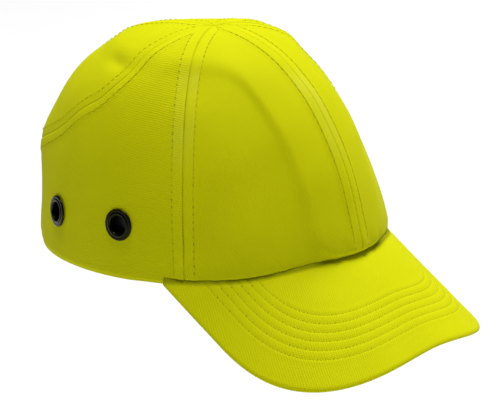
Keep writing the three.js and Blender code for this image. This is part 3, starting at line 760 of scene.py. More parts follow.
def cover_relief(points, heading, marks, hem, lip, firm):
    """Height of the sewn cover over the bare crown, in millimetres.

    marks are (gap, along, row) of the seams, hem the height over the lower edge, lip the distance to
    a seam that the panel lies over, and firm the share of the stitching's relief that shows.
    """
    gap, along, row = axes(marks)
    band = BAND_UP * firm * smooth(gap, 0.0, 1.2) * (1 - smooth(gap - row, -0.2, 2.6))
    band = band * smooth(row, 0, ROW_GAP)
    valley = -0.1 * (1 - smooth(gap, 0.0, 0.55))
    groove = GROOVE * firm * bell(gap, row, 0.5)
    pucker = 0.1 * np.cos(2 * math.pi * along / STITCH_PITCH) * bell(gap, row, 1.6)
    x, y, z = axes(points)
    slow = 0.28 * np.sin(x / 13 + 2 * np.sin(z / 19)) * np.sin(y / 17 + z / 11)
    tug = 0.16 * np.sin(along / 6.1 + 1.3 * np.sin(along / 17)) * bell(gap, 0, 11)
    over_peak = over_the_peak(heading)
    rolled = HEM_ROLL * (1 - smooth(hem, 0.0, 1.8)) * (1 - over_peak)
    tucked = HEM_TUCK * (1 - smooth(hem, PEAK_THICK - 0.3, PEAK_THICK + 1.2)) * over_peak
    foot = over_peak * 0.3 * np.sin(heading * 1.15) * bell(hem, 9, 5)
    raised = LIP_UP * (1 - smooth(lip, 0.0, 5.0))
    crossing = (1 - smooth(np.abs(y - APEX_Y), 0.2, 1.1)) * (1 - smooth(np.abs(x), 4, 8))
    pinch = -0.5 * crossing * (z > NEAR_APEX)
    return (band + valley + groove + pucker + slow * smooth(gap, 4, 20) + tug + rolled + tucked + foot
            + raised + pinch + back_fold(points))


def seam_room(points):
    """Share of the full row distance that fits at a point: it narrows to nothing at the apex."""
    return np.clip(np.hypot(points[..., 0], points[..., 1] - APEX_Y) / 12, 0, 1)


def panel(name, side, grid, centre, seams, rib, lifted=None, loose=None):
    """A closed sewn panel over a left-hand grid of (heading, t) rows, mirrored where side is -1.

    The weave starts at the centre heading, and rib is the twill's slope in degrees. The panel lies
    lifted over one seam, or loose beside one, where it hides the stitch row.
    """
    grid = grid if side > 0 else mirrored(grid, -1)[:, ::-1]
    heading, t = grid[..., 0], grid[..., 1]
    points, normals = crown(heading, t)
    gap, along = nearest_seam(points, seams)
    marks = np.stack([gap, along, ROW_GAP * seam_room(points)], -1)
    wrapped = (heading + 180) % 360 - 180
    hem = look_up(UP_TABLE, wrapped, t)
    lip = nearest_seam(points, [lifted])[0] if lifted else np.full(gap.shape, FAR)
    hidden = (nearest_seam(points, [loose])[0] < gap + 0.01) if loose else np.zeros(gap.shape, bool)
    firm = np.where(hidden, LOOSE_FIRMNESS, 1.0)
    outer = points + normals * cover_relief(points, wrapped, marks, hem, lip, firm)[..., None]
    marks[..., 2] = np.where(hidden, NO_ROW, marks[..., 2])
    tuck = np.minimum(((outer - points) * normals).sum(-1), 0)
    edge = np.zeros(heading.shape)
    edge[0] = edge[-1] = 1
    edge[:, 0] = edge[:, -1] = 1
    inner = points - normals * (COVER_THICK - tuck + 0.2 * edge)[..., None]
    cloth = woven(*cloth_coordinates(heading, t, centre * side), rib)
    x, y, z = axes(points)
    apex_line = np.abs(y - APEX_Y)
    on_apex_line = (np.abs(x) < 8) & (z > NEAR_APEX) & (apex_line < 1.2)
    marks[..., 0] = np.where(on_apex_line, np.minimum(gap, apex_line), gap)
    marks = marks.reshape(-1, 3)
    inside_marks = marks.copy()
    inside_marks[:, 0] = FAR
    return make_object(
        name, np.vstack([outer.reshape(-1, 3), inner.reshape(-1, 3)]), slab_faces(*heading.shape), TWILL,
        cloth=np.vstack([cloth, cloth]), seam=np.vstack([marks, inside_marks]),
    )


SIDE_ROWS = 120         # grid rows along the side seam, the lower edge and the arch
HEM_ROWS = 90
ARCH_ROWS = 30
BAND_ROWS = SIDE_ROWS + HEM_ROWS + ARCH_ROWS - 2


def front_panel(name, side):
    seam = even_rows(SEAMS["side_left"], SIDE_ROWS)
    grid = panel_grid(even_rows(SEAMS["front"], SIDE_ROWS), seam, 26)
    lifted = "front" if side < 0 else None
    return panel("cover_front_" + name, side, grid, 0, ["front", "side_" + name], 72, lifted)


def side_panel(name, side):
    seam = even_rows(SEAMS["side_left"], SIDE_ROWS)[::-1]
    foot = arch(0.0, PANEL_MARGIN)
    hem = np.stack([np.linspace(SIDE_SEAM[0][0], foot[0], HEM_ROWS), np.zeros(HEM_ROWS)], -1)
    arch_edge = arch(np.linspace(0, ARCH_JOIN * 0.93, ARCH_ROWS), PANEL_MARGIN)
    from_line = np.vstack([seam, hem[1:], arch_edge[1:]])[::-1]
    grid = panel_grid(from_line, even_rows(SEAMS["band_left"], BAND_ROWS), 26)
    seams = ["side_" + name, "band_" + name]
    return panel("cover_side_" + name, side, grid, 100, seams, 8, lifted="side_" + name)


def back_panel(name, side):
    seam = even_rows(SEAMS["band_left"], BAND_ROWS)
    centre = centre_line(180.0, ARCH_TOP, BAND_ROWS)
    grid = panel_grid(seam, centre, 20)
    share = (grid[..., 0] - seam[:, :1]) / (180 - seam[:, :1])
    sag = ((1 - np.linspace(0, 1, BAND_ROWS)) ** 3)[:, None]
    edge = arch(ARCH_JOIN + (1 - ARCH_JOIN) * share, PANEL_MARGIN)
    chord = seam[0] + (centre[0] - seam[0]) * share[..., None]
    grid = grid + sag[..., None] * (edge - chord)
    seams = ["back", "band_" + name]
    return panel("cover_back_" + name, side, grid, 180, seams, 40, loose="band_" + name)


def cover():
    for name, side in (("left", 1), ("right", -1)):
        for place, make in (("front", front_panel), ("side", side_panel), ("back", back_panel)):
            finish_piece(make(name, side), [f"{place}_panel_{name}"], "cover")


cover()


# ---- peak ---------------------------------------------------------------------------------

PEAK_HALF_WIDTH = 84.0
PEAK_WIDEST_Y = -81.4
PEAK_REACH = 72.4
PEAK_EDGE = 1.15        # half the thickness of the peak's rounded edge
PEAK_SIDE_SHARE = 0.24  # share of half the edge that lies behind the widest place
PEAK_SIDE_POWER = 0.74  # roundness of the edge's plan, sideways and forwards
PEAK_TIP_POWER = 0.88
PEAK_ROOT_OUT = 1.4     # how far the edge's end stands out from the crown
PEAK_TUCK = 2.9         # how far the peak's cloth goes under the crown
PEAK_RIBS = -28.0       # slope of the peak's twill ribs from the centre line
PEAK_ROWS = [PEAK_ROW_FIRST + PEAK_ROW_STEP * i for i in range(PEAK_ROW_COUNT)]
EDGE_SHARES = np.linspace(-1, 1, 721)


def peak_root(degrees, offset):
    """A point on the crown's lower edge in plan, moved out by an offset."""
    point, normal = crown(degrees, np.zeros(np.shape(degrees)))
    return point[..., :2] + unit(normal[..., :2]) * offset


ROOT_POINT = peak_root(np.array([PEAK_ROOT]), 0.0)[0]


def peak_side(back):
    """Half width of the peak from its widest place (0) back to its root (1)."""
    return PEAK_HALF_WIDTH + (ROOT_POINT[0] + PEAK_ROOT_OUT - PEAK_HALF_WIDTH) * back


def peak_edge(k, inset):
    """Plan points of the peak's edge, moved in by an inset. k runs from -1 through 0 to 1."""
    k = np.asarray(k, float)
    share = np.abs(k)
    angle = np.clip(share / (1 - PEAK_SIDE_SHARE), 0, 1) * math.pi / 2
    x = (PEAK_HALF_WIDTH - inset) * np.sin(angle) ** PEAK_SIDE_POWER
    y = PEAK_WIDEST_Y - (PEAK_REACH - inset) * np.cos(angle) ** PEAK_TIP_POWER
    back = np.clip((share - 1 + PEAK_SIDE_SHARE) / PEAK_SIDE_SHARE, 0, 1)
    x = np.where(back > 0, peak_side(back) - inset, x)
    y = np.where(back > 0, PEAK_WIDEST_Y + (ROOT_POINT[1] - PEAK_WIDEST_Y) * back, y)
    return np.stack([np.where(k < 0, -x, x), y], -1)


def peak_surface(plan, lift=0.0):
    """Points on the peak's upper face over plan points, moved up by lift."""
    z = peak_height(plan[..., 0], plan[..., 1]) + lift
    return np.concatenate([plan, z[..., None]], -1)


def peak_insets(plan):
    """The inset at which the peak's edge curve passes through each plan point, and how far along."""
    x, y = np.abs(plan[..., 0]), plan[..., 1]
    forward = np.maximum(PEAK_WIDEST_Y - y, 0)
    low, high = np.full(x.shape, -2.0), np.full(x.shape, PEAK_REACH - 1)
    for _ in range(30):
        mid = (low + high) / 2
        sideways = (x / (PEAK_HALF_WIDTH - mid)) ** (2 / PEAK_SIDE_POWER)
        outside = sideways + (forward / (PEAK_REACH - mid)) ** (2 / PEAK_TIP_POWER) > 1
        high = np.where(outside, mid, high)
        low = np.where(outside, low, mid)
    back = np.clip((y - PEAK_WIDEST_Y) / (ROOT_POINT[1] - PEAK_WIDEST_Y), 0, 1)
    behind = y > PEAK_WIDEST_Y
    inset = np.where(behind, peak_side(back) - x, (low + high) / 2)
    sine = np.clip(x / (PEAK_HALF_WIDTH - inset), 0, 1) ** (1 / PEAK_SIDE_POWER)
    cosine = np.clip(forward / (PEAK_REACH - inset), 0, 1) ** (1 / PEAK_TIP_POWER)
    share = np.where(behind, 1 - PEAK_SIDE_SHARE * (1 - back),
                     (1 - PEAK_SIDE_SHARE) * np.arctan2(sine, cosine) / (math.pi / 2))
    k = np.where(plan[..., 0] < 0, -share, share)
    insets = np.linspace(0, 40, 41)
    lengths = np.array([lengths_along(peak_edge(EDGE_SHARES, i)) for i in insets])
    return inset, bilinear(lengths, inset / insets[-1], (k + 1) / 2)


def peak_cover():
    """The peak's cloth: top and underside in one closed skin with a full, rounded edge."""
    columns = 261
    k = np.linspace(-1, 1, columns)
    inner = peak_root(PEAK_ROOT * k, -PEAK_TUCK)
    across = np.concatenate([[0, 0.0015, 0.005, 0.01, 0.016], np.linspace(0.026, 0.96, 128), [0.98, 1.0]])
    outer = peak_edge(k, 0.0)
    plan = outer[None] * (1 - across[:, None, None]) + inner[None] * across[:, None, None]
    inset = np.linalg.norm(plan - outer[None], axis=2)
    bulge = PEAK_EDGE * np.sqrt(1 - (1 - np.clip(inset / PEAK_EDGE, 0, 1)) ** 2)
    middle = peak_surface(plan, -PEAK_EDGE)
    top, low = middle.copy(), middle.copy()
    row_inset, along = peak_insets(plan)
    groove = np.clip(sum(bell(row_inset, r, 0.6) for r in PEAK_ROWS), 0, 1)
    past_rows = smooth(row_inset, PEAK_ROWS[-1], PEAK_ROWS[-1] + 3)
    sewn = smooth(row_inset, PEAK_ROWS[0] - 3, PEAK_ROWS[0]) * (1 - past_rows)
    top[..., 2] += bulge + 0.2 * sewn - 0.35 * groove
    low[..., 2] -= bulge + (PEAK_THICK - 2 * PEAK_EDGE) * smooth(inset, 2, 12) - 0.25 * groove
    points = np.vstack([top[::-1].reshape(-1, 3), low[::-1].reshape(-1, 3)])
    cloth = woven(plan[::-1, :, 1], plan[::-1, :, 0], PEAK_RIBS)
    # distance out from the peak's root, which places the painted shadow under the crown's hem
    out = np.linalg.norm(plan - inner[None], axis=2) - PEAK_TUCK
    marks = np.stack([row_inset[::-1], along[::-1], out[::-1]], -1).reshape(-1, 3)
    under_marks = marks.copy()
    # no painted hem shadow on the underside
    under_marks[:, 2] = FAR
    return make_object("peak_cover", points, slab_faces(len(across), columns), PEAK_TWILL,
                       cloth=np.vstack([cloth, cloth]), seam=np.vstack([marks, under_marks]))


finish_piece(peak_cover(), ["peak_top_cover", "peak_under_cover", "peak_board"], "cover")


# ---- stitches -----------------------------------------------------------------------------

THREAD_RADIUS = 0.17
STITCH_SHARE = 0.8      # share of the pitch that a stitch shows on the cloth
STITCH_SAG = 0.4        # how far its ends dive in
STITCH_RING = 6
STITCH_SHAPE = [(0.0, 0.35, 1.0), (0.12, 0.85, 0.35), (0.5, 1.0, 0.0), (0.88, 0.85, 0.35), (1.0, 0.35, 1.0)]


def stitch(start, end, normal):
    """One stitch: a short thread of (share along, radius, sag) rings that dives in at both ends."""
    axis = end - start
    side = unit(np.cross(axis, normal))
    up = np.cross(side, unit(axis))
    angles = np.arange(STITCH_RING)[:, None] * (2 * math.pi / STITCH_RING)
    ring = (side * np.cos(angles) + up * np.sin(angles)) * THREAD_RADIUS
    points = [start + axis * share - up * (STITCH_SAG * drop) + ring * size
              for share, size, drop in STITCH_SHAPE]
    return np.vstack(points), tube_faces(len(STITCH_SHAPE), STITCH_RING)


def stitch_row(line, normals, lengths, pitch):
    """Stitches along a dense line of points, with the way out and the length along at each."""
    parts = []
    for i in range(int(lengths[0] / pitch) + 1, int(lengths[-1] / pitch)):
        places = i * pitch + 0.15 + np.array([0.0, STITCH_SHARE * pitch])
        ends = np.stack([np.interp(places, lengths, line[:, j]) for j in range(3)], -1)
        out = np.array([np.interp(places.mean(), lengths, normals[:, j]) for j in range(3)])
        parts.append(stitch(ends[0], ends[1], unit(out)))
    return parts


def peak_stitches():
    """Rows on the peak's top and, for the bobbin thread, on its underside."""
    parts = []
    for inset in PEAK_ROWS:
        plan = peak_edge(EDGE_SHARES, inset)
        lengths = lengths_along(plan)
        theta = np.arctan2(plan[:, 0], -plan[:, 1])
        clear = np.linalg.norm(plan, axis=1) > rim_radius(theta, RIM_POWER) + 0.5
        for lift, face in ((-0.1, 1), (0.2 - PEAK_THICK, -1)):
            line = peak_surface(plan, lift)[clear]
            across = peak_surface(peak_edge(EDGE_SHARES, inset + 0.5), lift)[clear] - line
            out = np.cross(np.gradient(line, axis=0), across)
            out = unit(out * np.sign(out[:, 2:]) * face)
            parts += stitch_row(line, out, lengths[clear], PEAK_PITCH)
    return join("peak_stitches", parts, THREAD)


def seam_row(name, offset, lowest):
    """A topstitch row beside a seam, at an offset to one side of it in millimetres."""
    points, normals = crown(*SEAMS[name].T)
    across = np.cross(unit(np.gradient(points, axis=0)), normals)
    room = seam_room(points)
    moved = points + across * (offset * room)[:, None] + normals * 0.2
    keep = (room > 0.45) & (points[:, 2] > lowest)
    return moved[keep], normals[keep], SEAM_LENGTHS[name][keep]


def cover_stitches():
    parts = []
    for name in SEAMS:
        lowest = 14 if name == "front" else 2
        for offset in (-ROW_GAP, ROW_GAP):
            parts += stitch_row(*seam_row(name, offset, lowest), STITCH_PITCH)
    return join("cover_stitches", parts, THREAD)


def thread_material():
    n = Nodes("thread", Roughness=0.7, Specular_IOR_Level=0.05)
    fine = n.noise(n.position(), 900.0, 2.0)
    n.color(n.mix(fine, (0.70, 0.71, 0.003), (0.5, 0.51, 0.002)))
    n.bump(fine, 0.4, 0.0001)
    return n.material


THREAD = thread_material()
for stitches in (cover_stitches(), peak_stitches()):
    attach(stitches, "cover")


# ---- eyelets ------------------------------------------------------------------------------

EYELETS = {"front": (83.0, 29.2), "rear": (118.0, 26.5)}    # heading and height of each centre
EYELET_CUT = 6.0        # radius of the hole punched in the cloth
EYELET_LIFT = 0.35      # the flange sits this far out from the crown

# (radius, height) round the section of the flanged barrel, and of the washer behind the cloth
FLANGE = [
    (5.0, -3.2), (5.0, -1.0), (5.0, 0.3), (5.15, 0.8), (5.6, 1.15), (6.15, 1.2), (6.6, 1.0),
    (7.0, 0.8), (7.4, 0.85), (7.9, 0.85), (8.35, 0.65), (8.55, 0.35), (8.55, 0.1), (8.3, -0.05),
    (7.2, -0.1), (6.0, -0.1), (5.6, -0.3), (5.6, -1.4), (5.6, -3.0), (5.45, -3.25), (5.2, -3.3),
]
WASHER = [
    (5.95, -2.75), (5.95, -2.25), (6.2, -2.0), (7.2, -1.95), (8.2, -2.1), (8.7, -2.3), (8.8, -2.6),
    (8.5, -2.85), (7.4, -2.95), (6.4, -2.9),
]


EYELET_RINGS = (("eyelet", FLANGE, "eyelet_"), ("washer", WASHER, "eyelet_washer_"))


def smooth_loop(points, per):
    """A closed Catmull-Rom curve with a number of points per span."""
    corners = [np.roll(np.array(points, float), -j, axis=0)[:, None] for j in (-1, 0, 1, 2)]
    f = np.linspace(0, 1, per, endpoint=False)[:, None]
    return catmull_rom(*corners, f).reshape(-1, 2)


def basis_of(normal):
    """Two directions across a normal."""
    side = unit(np.cross([0.0, 0.0, 1.0], normal))
    return side, np.cross(normal, side)


def turned(profile, place, normal, segments=72):
    """A closed (radius, height) profile turned about a normal at a place."""
    side, up = basis_of(normal)
    a = np.linspace(0, 2 * math.pi, segments, endpoint=False)
    ring = np.cos(a)[:, None] * side + np.sin(a)[:, None] * up
    points = place + ring[:, None, :] * profile[None, :, :1] + normal * profile[None, :, 1:]
    numbers = np.arange(segments * len(profile)).reshape(segments, -1)
    after = np.roll(numbers, -1, axis=0)
    quads = np.stack([numbers, after, np.roll(after, -1, axis=1), np.roll(numbers, -1, axis=1)], -1)
    return points.reshape(-1, 3), [tuple(quad) for quad in quads.reshape(-1, 4).tolist()]


def metal_material():
    n = Nodes("eyelet_metal", Roughness=0.3, Metallic=0.9)
    scuff = n.noise(n.position(), 700.0, 3.0, 0.6)
    tone_patches = n.noise(n.position(), 160.0, 2.0)
    # painted reflection: both dark colours are tinted olive, standing in for the lime cloth mirrored in the
    # metal
    n.color(n.mix(n.ramp(tone_patches, 0.3, 0.7), (0.020, 0.020, 0.004), (0.010, 0.010, 0.003)))
    n.roughness(n.ramp(scuff, 0.3, 0.7, 0.2, 0.38))
    n.bump(scuff, 0.12, 0.00008)
    return n.material


def on_crown(heading, height, depth=0.0):
    """One point of the crown at a heading and a height, and the way out there."""
    headings = np.array([heading])
    point, normal = crown(headings, t_at_height(headings, height), depth)
    return point[0], normal[0]


def local_values(points, known_points, known_values, count=8):
    """Values at points from a straight-line fit through the nearest known points."""
    result = np.zeros((len(points), known_values.shape[1]))
    for i, point in enumerate(points):
        near = np.argsort(((known_points - point) ** 2).sum(1))[:count]
        table = np.column_stack([np.ones(count), known_points[near] - point])
        result[i] = np.linalg.lstsq(table, known_values[near], rcond=1e-3)[0][0]
    return result


def read_vectors(data, key):
    """A mesh's points or attribute values as an array of vectors."""
    values = np.zeros(len(data) * 3)
    data.foreach_get(key, values)
    return values.reshape(-1, 3)


def evaluated(piece):
    """A piece as its modifiers shape it."""
    bpy.context.view_layer.update()
    return piece.evaluated_get(bpy.context.evaluated_depsgraph_get())


def apply_modifiers(piece):
    shape = bpy.data.meshes.new_from_object(evaluated(piece))
    piece.modifiers.clear()
    piece.data = shape


def boolean_cut(piece, cutter):
    """Cut a closed piece with a closed cutter and delete the cutter."""
    modifier = piece.modifiers.new("cut", "BOOLEAN")
    modifier.object = cutter
    modifier.operation = "DIFFERENCE"
    modifier.solver = "EXACT"
    apply_modifiers(piece)
    bpy.data.objects.remove(cutter)


def punch(piece, places, radius, depth=8.0):
    """Punch round holes in a panel, and give the new edge points their cloth and seam values."""
    before = read_vectors(piece.data.vertices, "co")
    known = {name: read_vectors(piece.data.attributes[name].data, "vector") for name in ("cloth", "seam")}
    tube = np.array([(1e-3, -depth), (radius, -depth), (radius, depth), (1e-3, depth)])
    cutter = join("cutter", [turned(tube, p, n, 48) for p, n in places], TWILL, smooth_shade=False)
    boolean_cut(piece, cutter)
    after = read_vectors(piece.data.vertices, "co")
    lookup = {tuple(p): i for i, p in enumerate(np.round(before, 6).tolist())}
    order = np.array([lookup.get(tuple(p), -1) for p in np.round(after, 6).tolist()])
    new = np.flatnonzero(order < 0)
    for name, values in known.items():
        filled = values[order]
        filled[new] = local_values(after[new], before, values)
        piece.data.attributes[name].data.foreach_set("vector", filled.astype(np.float32).ravel())


def eyelets():
    metal = metal_material()
    for name, side in (("left", 1), ("right", -1)):
        places = [on_crown(heading * side, height) for heading, height in EYELETS.values()]
        punch(bpy.data.objects["cover_side_" + name], places, EYELET_CUT)
        for place, (point, normal) in zip(EYELETS, places):
            for label, profile, node in EYELET_RINGS:
                points, faces = turned(smooth_loop(profile, 4), point + normal * EYELET_LIFT, normal)
                piece = make_object(f"{label}_{place}_{name}_ring", points, faces, metal)
                finish_piece(piece, [f"{node}{place}_{name}"], "cover")


eyelets()


# ---- strips: binding, tapes, sweatband and straps -------------------------------------------

def end_taper(stations, first, rounded=3):
    """A strip's thickness at each station: it grows from a first share over its rounded ends."""
    ends = np.sin(np.linspace(first, 1, rounded + 1)[:-1] * math.pi / 2)
    return np.concatenate([ends, np.ones(stations - 2 * rounded), ends[::-1]])


def swept_strip(name, centre, across, out, profile, material):
    """A closed strip: a closed (across, out) profile carried along a line of points."""
    middle = profile[:, 1].mean()
    depth = middle + (profile[None, :, 1:] - middle) * end_taper(len(centre), 0.35)[:, None, None]
    points = centre[:, None] + across[:, None] * profile[None, :, :1] + out[:, None] * depth
    lengths = lengths_along(centre)
    cloth = np.stack(np.broadcast_arrays(profile[None, :, 0], lengths[:, None], 0.0), -1)
    return make_object(name, points.reshape(-1, 3), tube_faces(len(centre), len(profile)), material,
                       cloth=cloth.reshape(-1, 3))


def flat_profile(width, thick, arched, hems, columns=24):
    """A rounded flat section of (across, out), arched up in the middle, with stitched dents at hems."""
    half = thick / 2
    u = np.linspace(-1, 1, columns)
    x = np.sign(u) * (1 - (1 - np.abs(u)) ** 1.5) * width / 2
    edge = half * np.sqrt(np.clip(1 - np.clip((np.abs(x) - width / 2 + half) / half, 0, 1) ** 2, 0, 1))
    dent = sum((0.28 * thick * bell(x, h, 0.6) for h in hems), np.zeros(columns))
    top = np.stack([x, edge + arched * (1 - (2 * x / width) ** 2) - dent], -1)
    low = np.stack([x, -edge], -1)[::-1]
    return np.vstack([top, low[1:-1]])


def tape_material(name, color, shade):
    """Woven tape: a herringbone of fine ribs from the cloth attribute."""
    n = Nodes(name, Roughness=0.85, Specular_IOR_Level=0.2, Sheen_Weight=0.15)
    cloth = n.attribute("cloth")
    x, y, _ = n.separate(cloth)
    ribs = n.wave(n.plus(y, n.math("PINGPONG", x, 2.2)), 1.1)
    lint = n.noise(cloth, 2.2, 3.0, 0.7)
    tone = n.mix(n.ramp(ribs, -1, 1, 0.6, 0.0), color, shade)
    n.color(n.mix(n.ramp(lint, 0.4, 0.8, 0.0, 0.5), tone, tuple(c * 1.6 for c in color)))
    n.roughness(n.ramp(lint, 0.3, 0.7, 0.75, 0.95))
    n.bump(n.plus(ribs, n.times(lint, 0.9)), 0.5, 0.0002)
    return n.material


def terry_material():
    n = Nodes("terry", Roughness=0.95, Specular_IOR_Level=0.1, Sheen_Weight=0.3, Sheen_Roughness=0.6)
    loops = n.noise(n.position(), 1500.0, 2.0, 0.6)
    tufts = n.noise(n.position(), 420.0, 2.0)
    n.color(n.mix(n.ramp(loops, 0.35, 0.65), (0.009, 0.009, 0.010), (0.030, 0.030, 0.033)))
    n.bump(n.plus(loops, tufts), 0.8, 0.0006)
    return n.material


BINDING_WIDTH = 3.0
TAPE_WIDTH = 9.0
TAPE_DEPTH = 2.5
TAPE_TOP = 0.92         # t where the tapes end, short of the apex
TAPE_STATIONS = 90
TAPE = tape_material("black_tape", (0.014, 0.014, 0.015), (0.005, 0.005, 0.006))
TERRY = terry_material()


def crown_line(degrees, t, depth):
    """Points, way across (to the right of travel) and way out along a line of the crown."""
    points, out = crown(degrees, t, depth)
    return points, unit(np.cross(np.gradient(points, axis=0), out)), out


def arch_binding():
    share = np.linspace(0, 2, 121)
    side = np.where(share < 1, 1.0, -1.0)
    line = arch(np.where(share < 1, share, 2 - share), BINDING_WIDTH / 2)
    heading = np.where(side > 0, line[:, 0], 360 - line[:, 0])
    profile = flat_profile(BINDING_WIDTH + 0.6, 2.2, 0.0, [0.7])
    piece = swept_strip("rear_arch_piping", *crown_line(heading, line[:, 1], 0.35), profile, PLAIN_TWILL)
    finish_piece(piece, ["rear_arch_binding"], "cover")


def seam_tapes():
    """A tape inside each seam, from the sweatband or the rear opening towards the apex."""
    front_foot = float(t_at_height(0, 44))
    back_foot = float(arch(1.0, PANEL_MARGIN + 3)[1])
    side_foot = float(t_at_height(59.0, 36.0))
    lines = {("front", ""): (0.0, np.linspace(front_foot, TAPE_TOP, TAPE_STATIONS)),
             ("back", ""): (180.0, np.linspace(back_foot, TAPE_TOP, TAPE_STATIONS))}
    for name, side in (("_left", 1), ("_right", -1)):
        for seam, curve, foot in (("side", SIDE_SEAM, side_foot), ("band", BAND_SEAM, 0.07)):
            line = mirrored(through(curve, np.linspace(foot, TAPE_TOP, TAPE_STATIONS)), side)
            lines[seam, name] = tuple(line.T)
    profile = flat_profile(TAPE_WIDTH, 0.7, 0.25, [-3.4, 3.4])
    for (seam, name), (heading, t) in lines.items():
        strip = crown_line(np.broadcast_to(heading, t.shape), t, TAPE_DEPTH)
        piece = swept_strip(f"{seam}{name}_tape_cloth", *strip, profile, TAPE)
        finish_piece(piece, [f"{seam}_seam_tape{name}"], "cover")


arch_binding()
seam_tapes()


STRAP_RIBS = 35         # slope of the twill's ribs on a wrapped strip
STRAP_ROW = 2.4         # its stitch row from its edge
NO_LINE = 20            # added to both, so that no dark seam line shows


def wrapped(name, headings, low, profile, material, shift, squeeze=1.0):
    """A closed (height, depth) profile wrapped round the crown over a range of headings.

    low gives the height of the profile's foot at each heading, shift(headings, profile) gives extra
    depth at every point, and squeeze scales the profile's height about its middle.
    """
    heading = np.broadcast_to(headings[:, None], (len(headings), len(profile)))
    lowest, highest = profile[:, 0].min(), profile[:, 0].max()
    middle = (highest + lowest) / 2
    height = middle + (profile[:, 0] - middle) * np.broadcast_to(squeeze, headings.shape)[:, None]
    depth = profile[:, 1] + shift(headings[:, None], profile[None])
    core = depth.mean(axis=1, keepdims=True)
    depth = core + (depth - core) * end_taper(len(headings), 0.3)[:, None]
    points = crown(heading, t_at_height(heading, low[:, None] + height), depth)[0]
    along = np.broadcast_to(lengths_along(points[:, 0])[:, None], height.shape)
    gap = np.minimum(height - lowest, highest - height)
    seam = np.stack([gap + NO_LINE, along, np.full(height.shape, STRAP_ROW + NO_LINE)], -1)
    return make_object(name, points.reshape(-1, 3), tube_faces(*heading.shape), material,
                       cloth=woven(along, height, STRAP_RIBS), seam=seam.reshape(-1, 3))


def upright_profile(height, outer_depth, thick, puff, hems, columns=34):
    """A rounded section standing on its foot: (height, depth) going round, puffed up inside."""
    flat = flat_profile(height, thick, 0.0, [h - height / 2 for h in hems], columns)
    up = flat[:, 0] + height / 2
    depth = outer_depth + thick / 2 - flat[:, 1]
    swollen = puff * np.sin(np.clip(up / height, 0, 1) * math.pi) ** 0.6
    return np.stack([up, depth + np.where(flat[:, 1] < 0, swollen, 0)], -1)


# ---- sweatband ----------------------------------------------------------------------------

BAND_JOIN = 62.0        # headings where the padded front ends, and where the thin sides end
BAND_END = 142.0
CHANNELS = 22           # sewn channels in half a turn
BAND_DEPTH = 2.2
BAND_THICK = 1.4


def band_low(headings):
    """Height of the band's foot, just over the crown's lower edge."""
    return rim_height(np.asarray(headings) * RAD) + 0.8


def band_shift(padding):
    """Extra depth: the front follows the tucked hem, and its padding is sewn in channels."""
    def shift(headings, profile):
        up, depth = profile[..., 0], profile[..., 1]
        tuck = 2.6 * over_the_peak(headings) * (1 - smooth(up, 2.0, 7.0))
        channel = np.abs(np.sin(headings * RAD * CHANNELS)) ** 0.5
        inside = smooth(depth, BAND_DEPTH + 0.8, BAND_DEPTH + 1.4) * smooth(up, 3, 6)
        return tuck + padding * inside * (channel - 0.55)
    return shift


def sweatband():
    front = np.linspace(-BAND_JOIN, BAND_JOIN, 241)
    profile = upright_profile(30.0, BAND_DEPTH, BAND_THICK, 1.4, [3.0, 26.5], columns=44)
    piece = wrapped("sweatband_padded_front", front, band_low(front), profile, TERRY, band_shift(0.7))
    finish_piece(piece, ["sweatband_front"], "cover")
    profile = upright_profile(15.0, BAND_DEPTH, BAND_THICK, 0.2, [2.6, 12.4])
    for name, side in (("left", 1), ("right", -1)):
        headings = np.linspace(BAND_JOIN + 0.4, BAND_END, 141)[::side] * side
        piece = wrapped("sweatband_terry_" + name, headings, band_low(headings), profile, TERRY,
                        band_shift(0.0))
        finish_piece(piece, ["sweatband_" + name], "cover")


sweatband()


# ---- impact shell -------------------------------------------------------------------------

SHELL_DEPTH = 4.8
SHELL_THICK = 2.0
SHELL_BROW, SHELL_SIDE, SHELL_REAR = 29.0, 13.0, 54.0
SHELL_TOP_T = 0.994
SHELL_RIB = 0.7
# heading, height, length and width of each slot on the left side
SLOTS = [(48, 78, 20, 7), (134, 78, 20, 7), (72, 92, 13, 6), (90, 92, 13, 6), (108, 92, 13, 6)]


def shell_edge(degrees):
    """Height of the shell's lower edge."""
    heading = np.abs((degrees + 180) % 360 - 180)
    level = SHELL_BROW + (SHELL_SIDE - SHELL_BROW) * smooth(heading, 42, 64)
    return level + (SHELL_REAR - level) * smooth(heading, 127, 150)


def shell_dish(name, low_t, outer, thick, columns, rings, material, relief=None):
    """A closed bowl under the crown with a rounded lower edge at low_t(headings)."""
    headings = np.linspace(0, 360, columns, endpoint=False)
    climb = np.sin(np.linspace(0, 1, rings) * math.pi / 2)
    foot = low_t(headings)[None]
    t = foot + (SHELL_TOP_T - foot) * climb[:, None]
    heading = np.broadcast_to(headings, t.shape)
    raised = relief(heading, t) if relief else np.zeros(t.shape)
    outside = crown(heading, t, outer - raised)[0]
    inside = crown(heading, t, outer + thick)[0]
    middle, out = crown(heading[:2], t[:2], outer + thick / 2)
    upward = unit(middle[1] - middle[0])
    turn = np.linspace(0, math.pi, 7)[1:-1, None, None]
    edge = middle[0] + thick / 2 * (out[0] * np.cos(turn) - upward * np.sin(turn))
    layers = np.concatenate([outside[::-1], edge, inside])
    faces = grid_faces(len(layers), columns, flip=True, wrap=True)
    points = np.vstack([layers.reshape(-1, 3), layers[0].mean(0)[None], layers[-1].mean(0)[None]])
    outer_apex, inner_apex = len(points) - 2, len(points) - 1
    last = outer_apex - columns
    for j in range(columns):
        k = (j + 1) % columns
        faces.append((j, k, outer_apex))
        faces.append((last + k, last + j, inner_apex))
    return make_object(name, points, faces, material)


def shell_relief(heading, t):
    """Stiffening ribs: a broad spine over the top, one rib on each side of it and one all round."""
    x, _, z = axes(plain_crown(heading * RAD, t))
    spine = (1 - smooth(np.abs(x), 8, 11)) * smooth(z, 40, 55)
    beside = bell(np.abs(x), 24, 3.2) * smooth(z, 60, 75)
    return SHELL_RIB * np.maximum(np.maximum(spine, 0.8 * beside), 0.7 * bell(z, 68, 2.4))


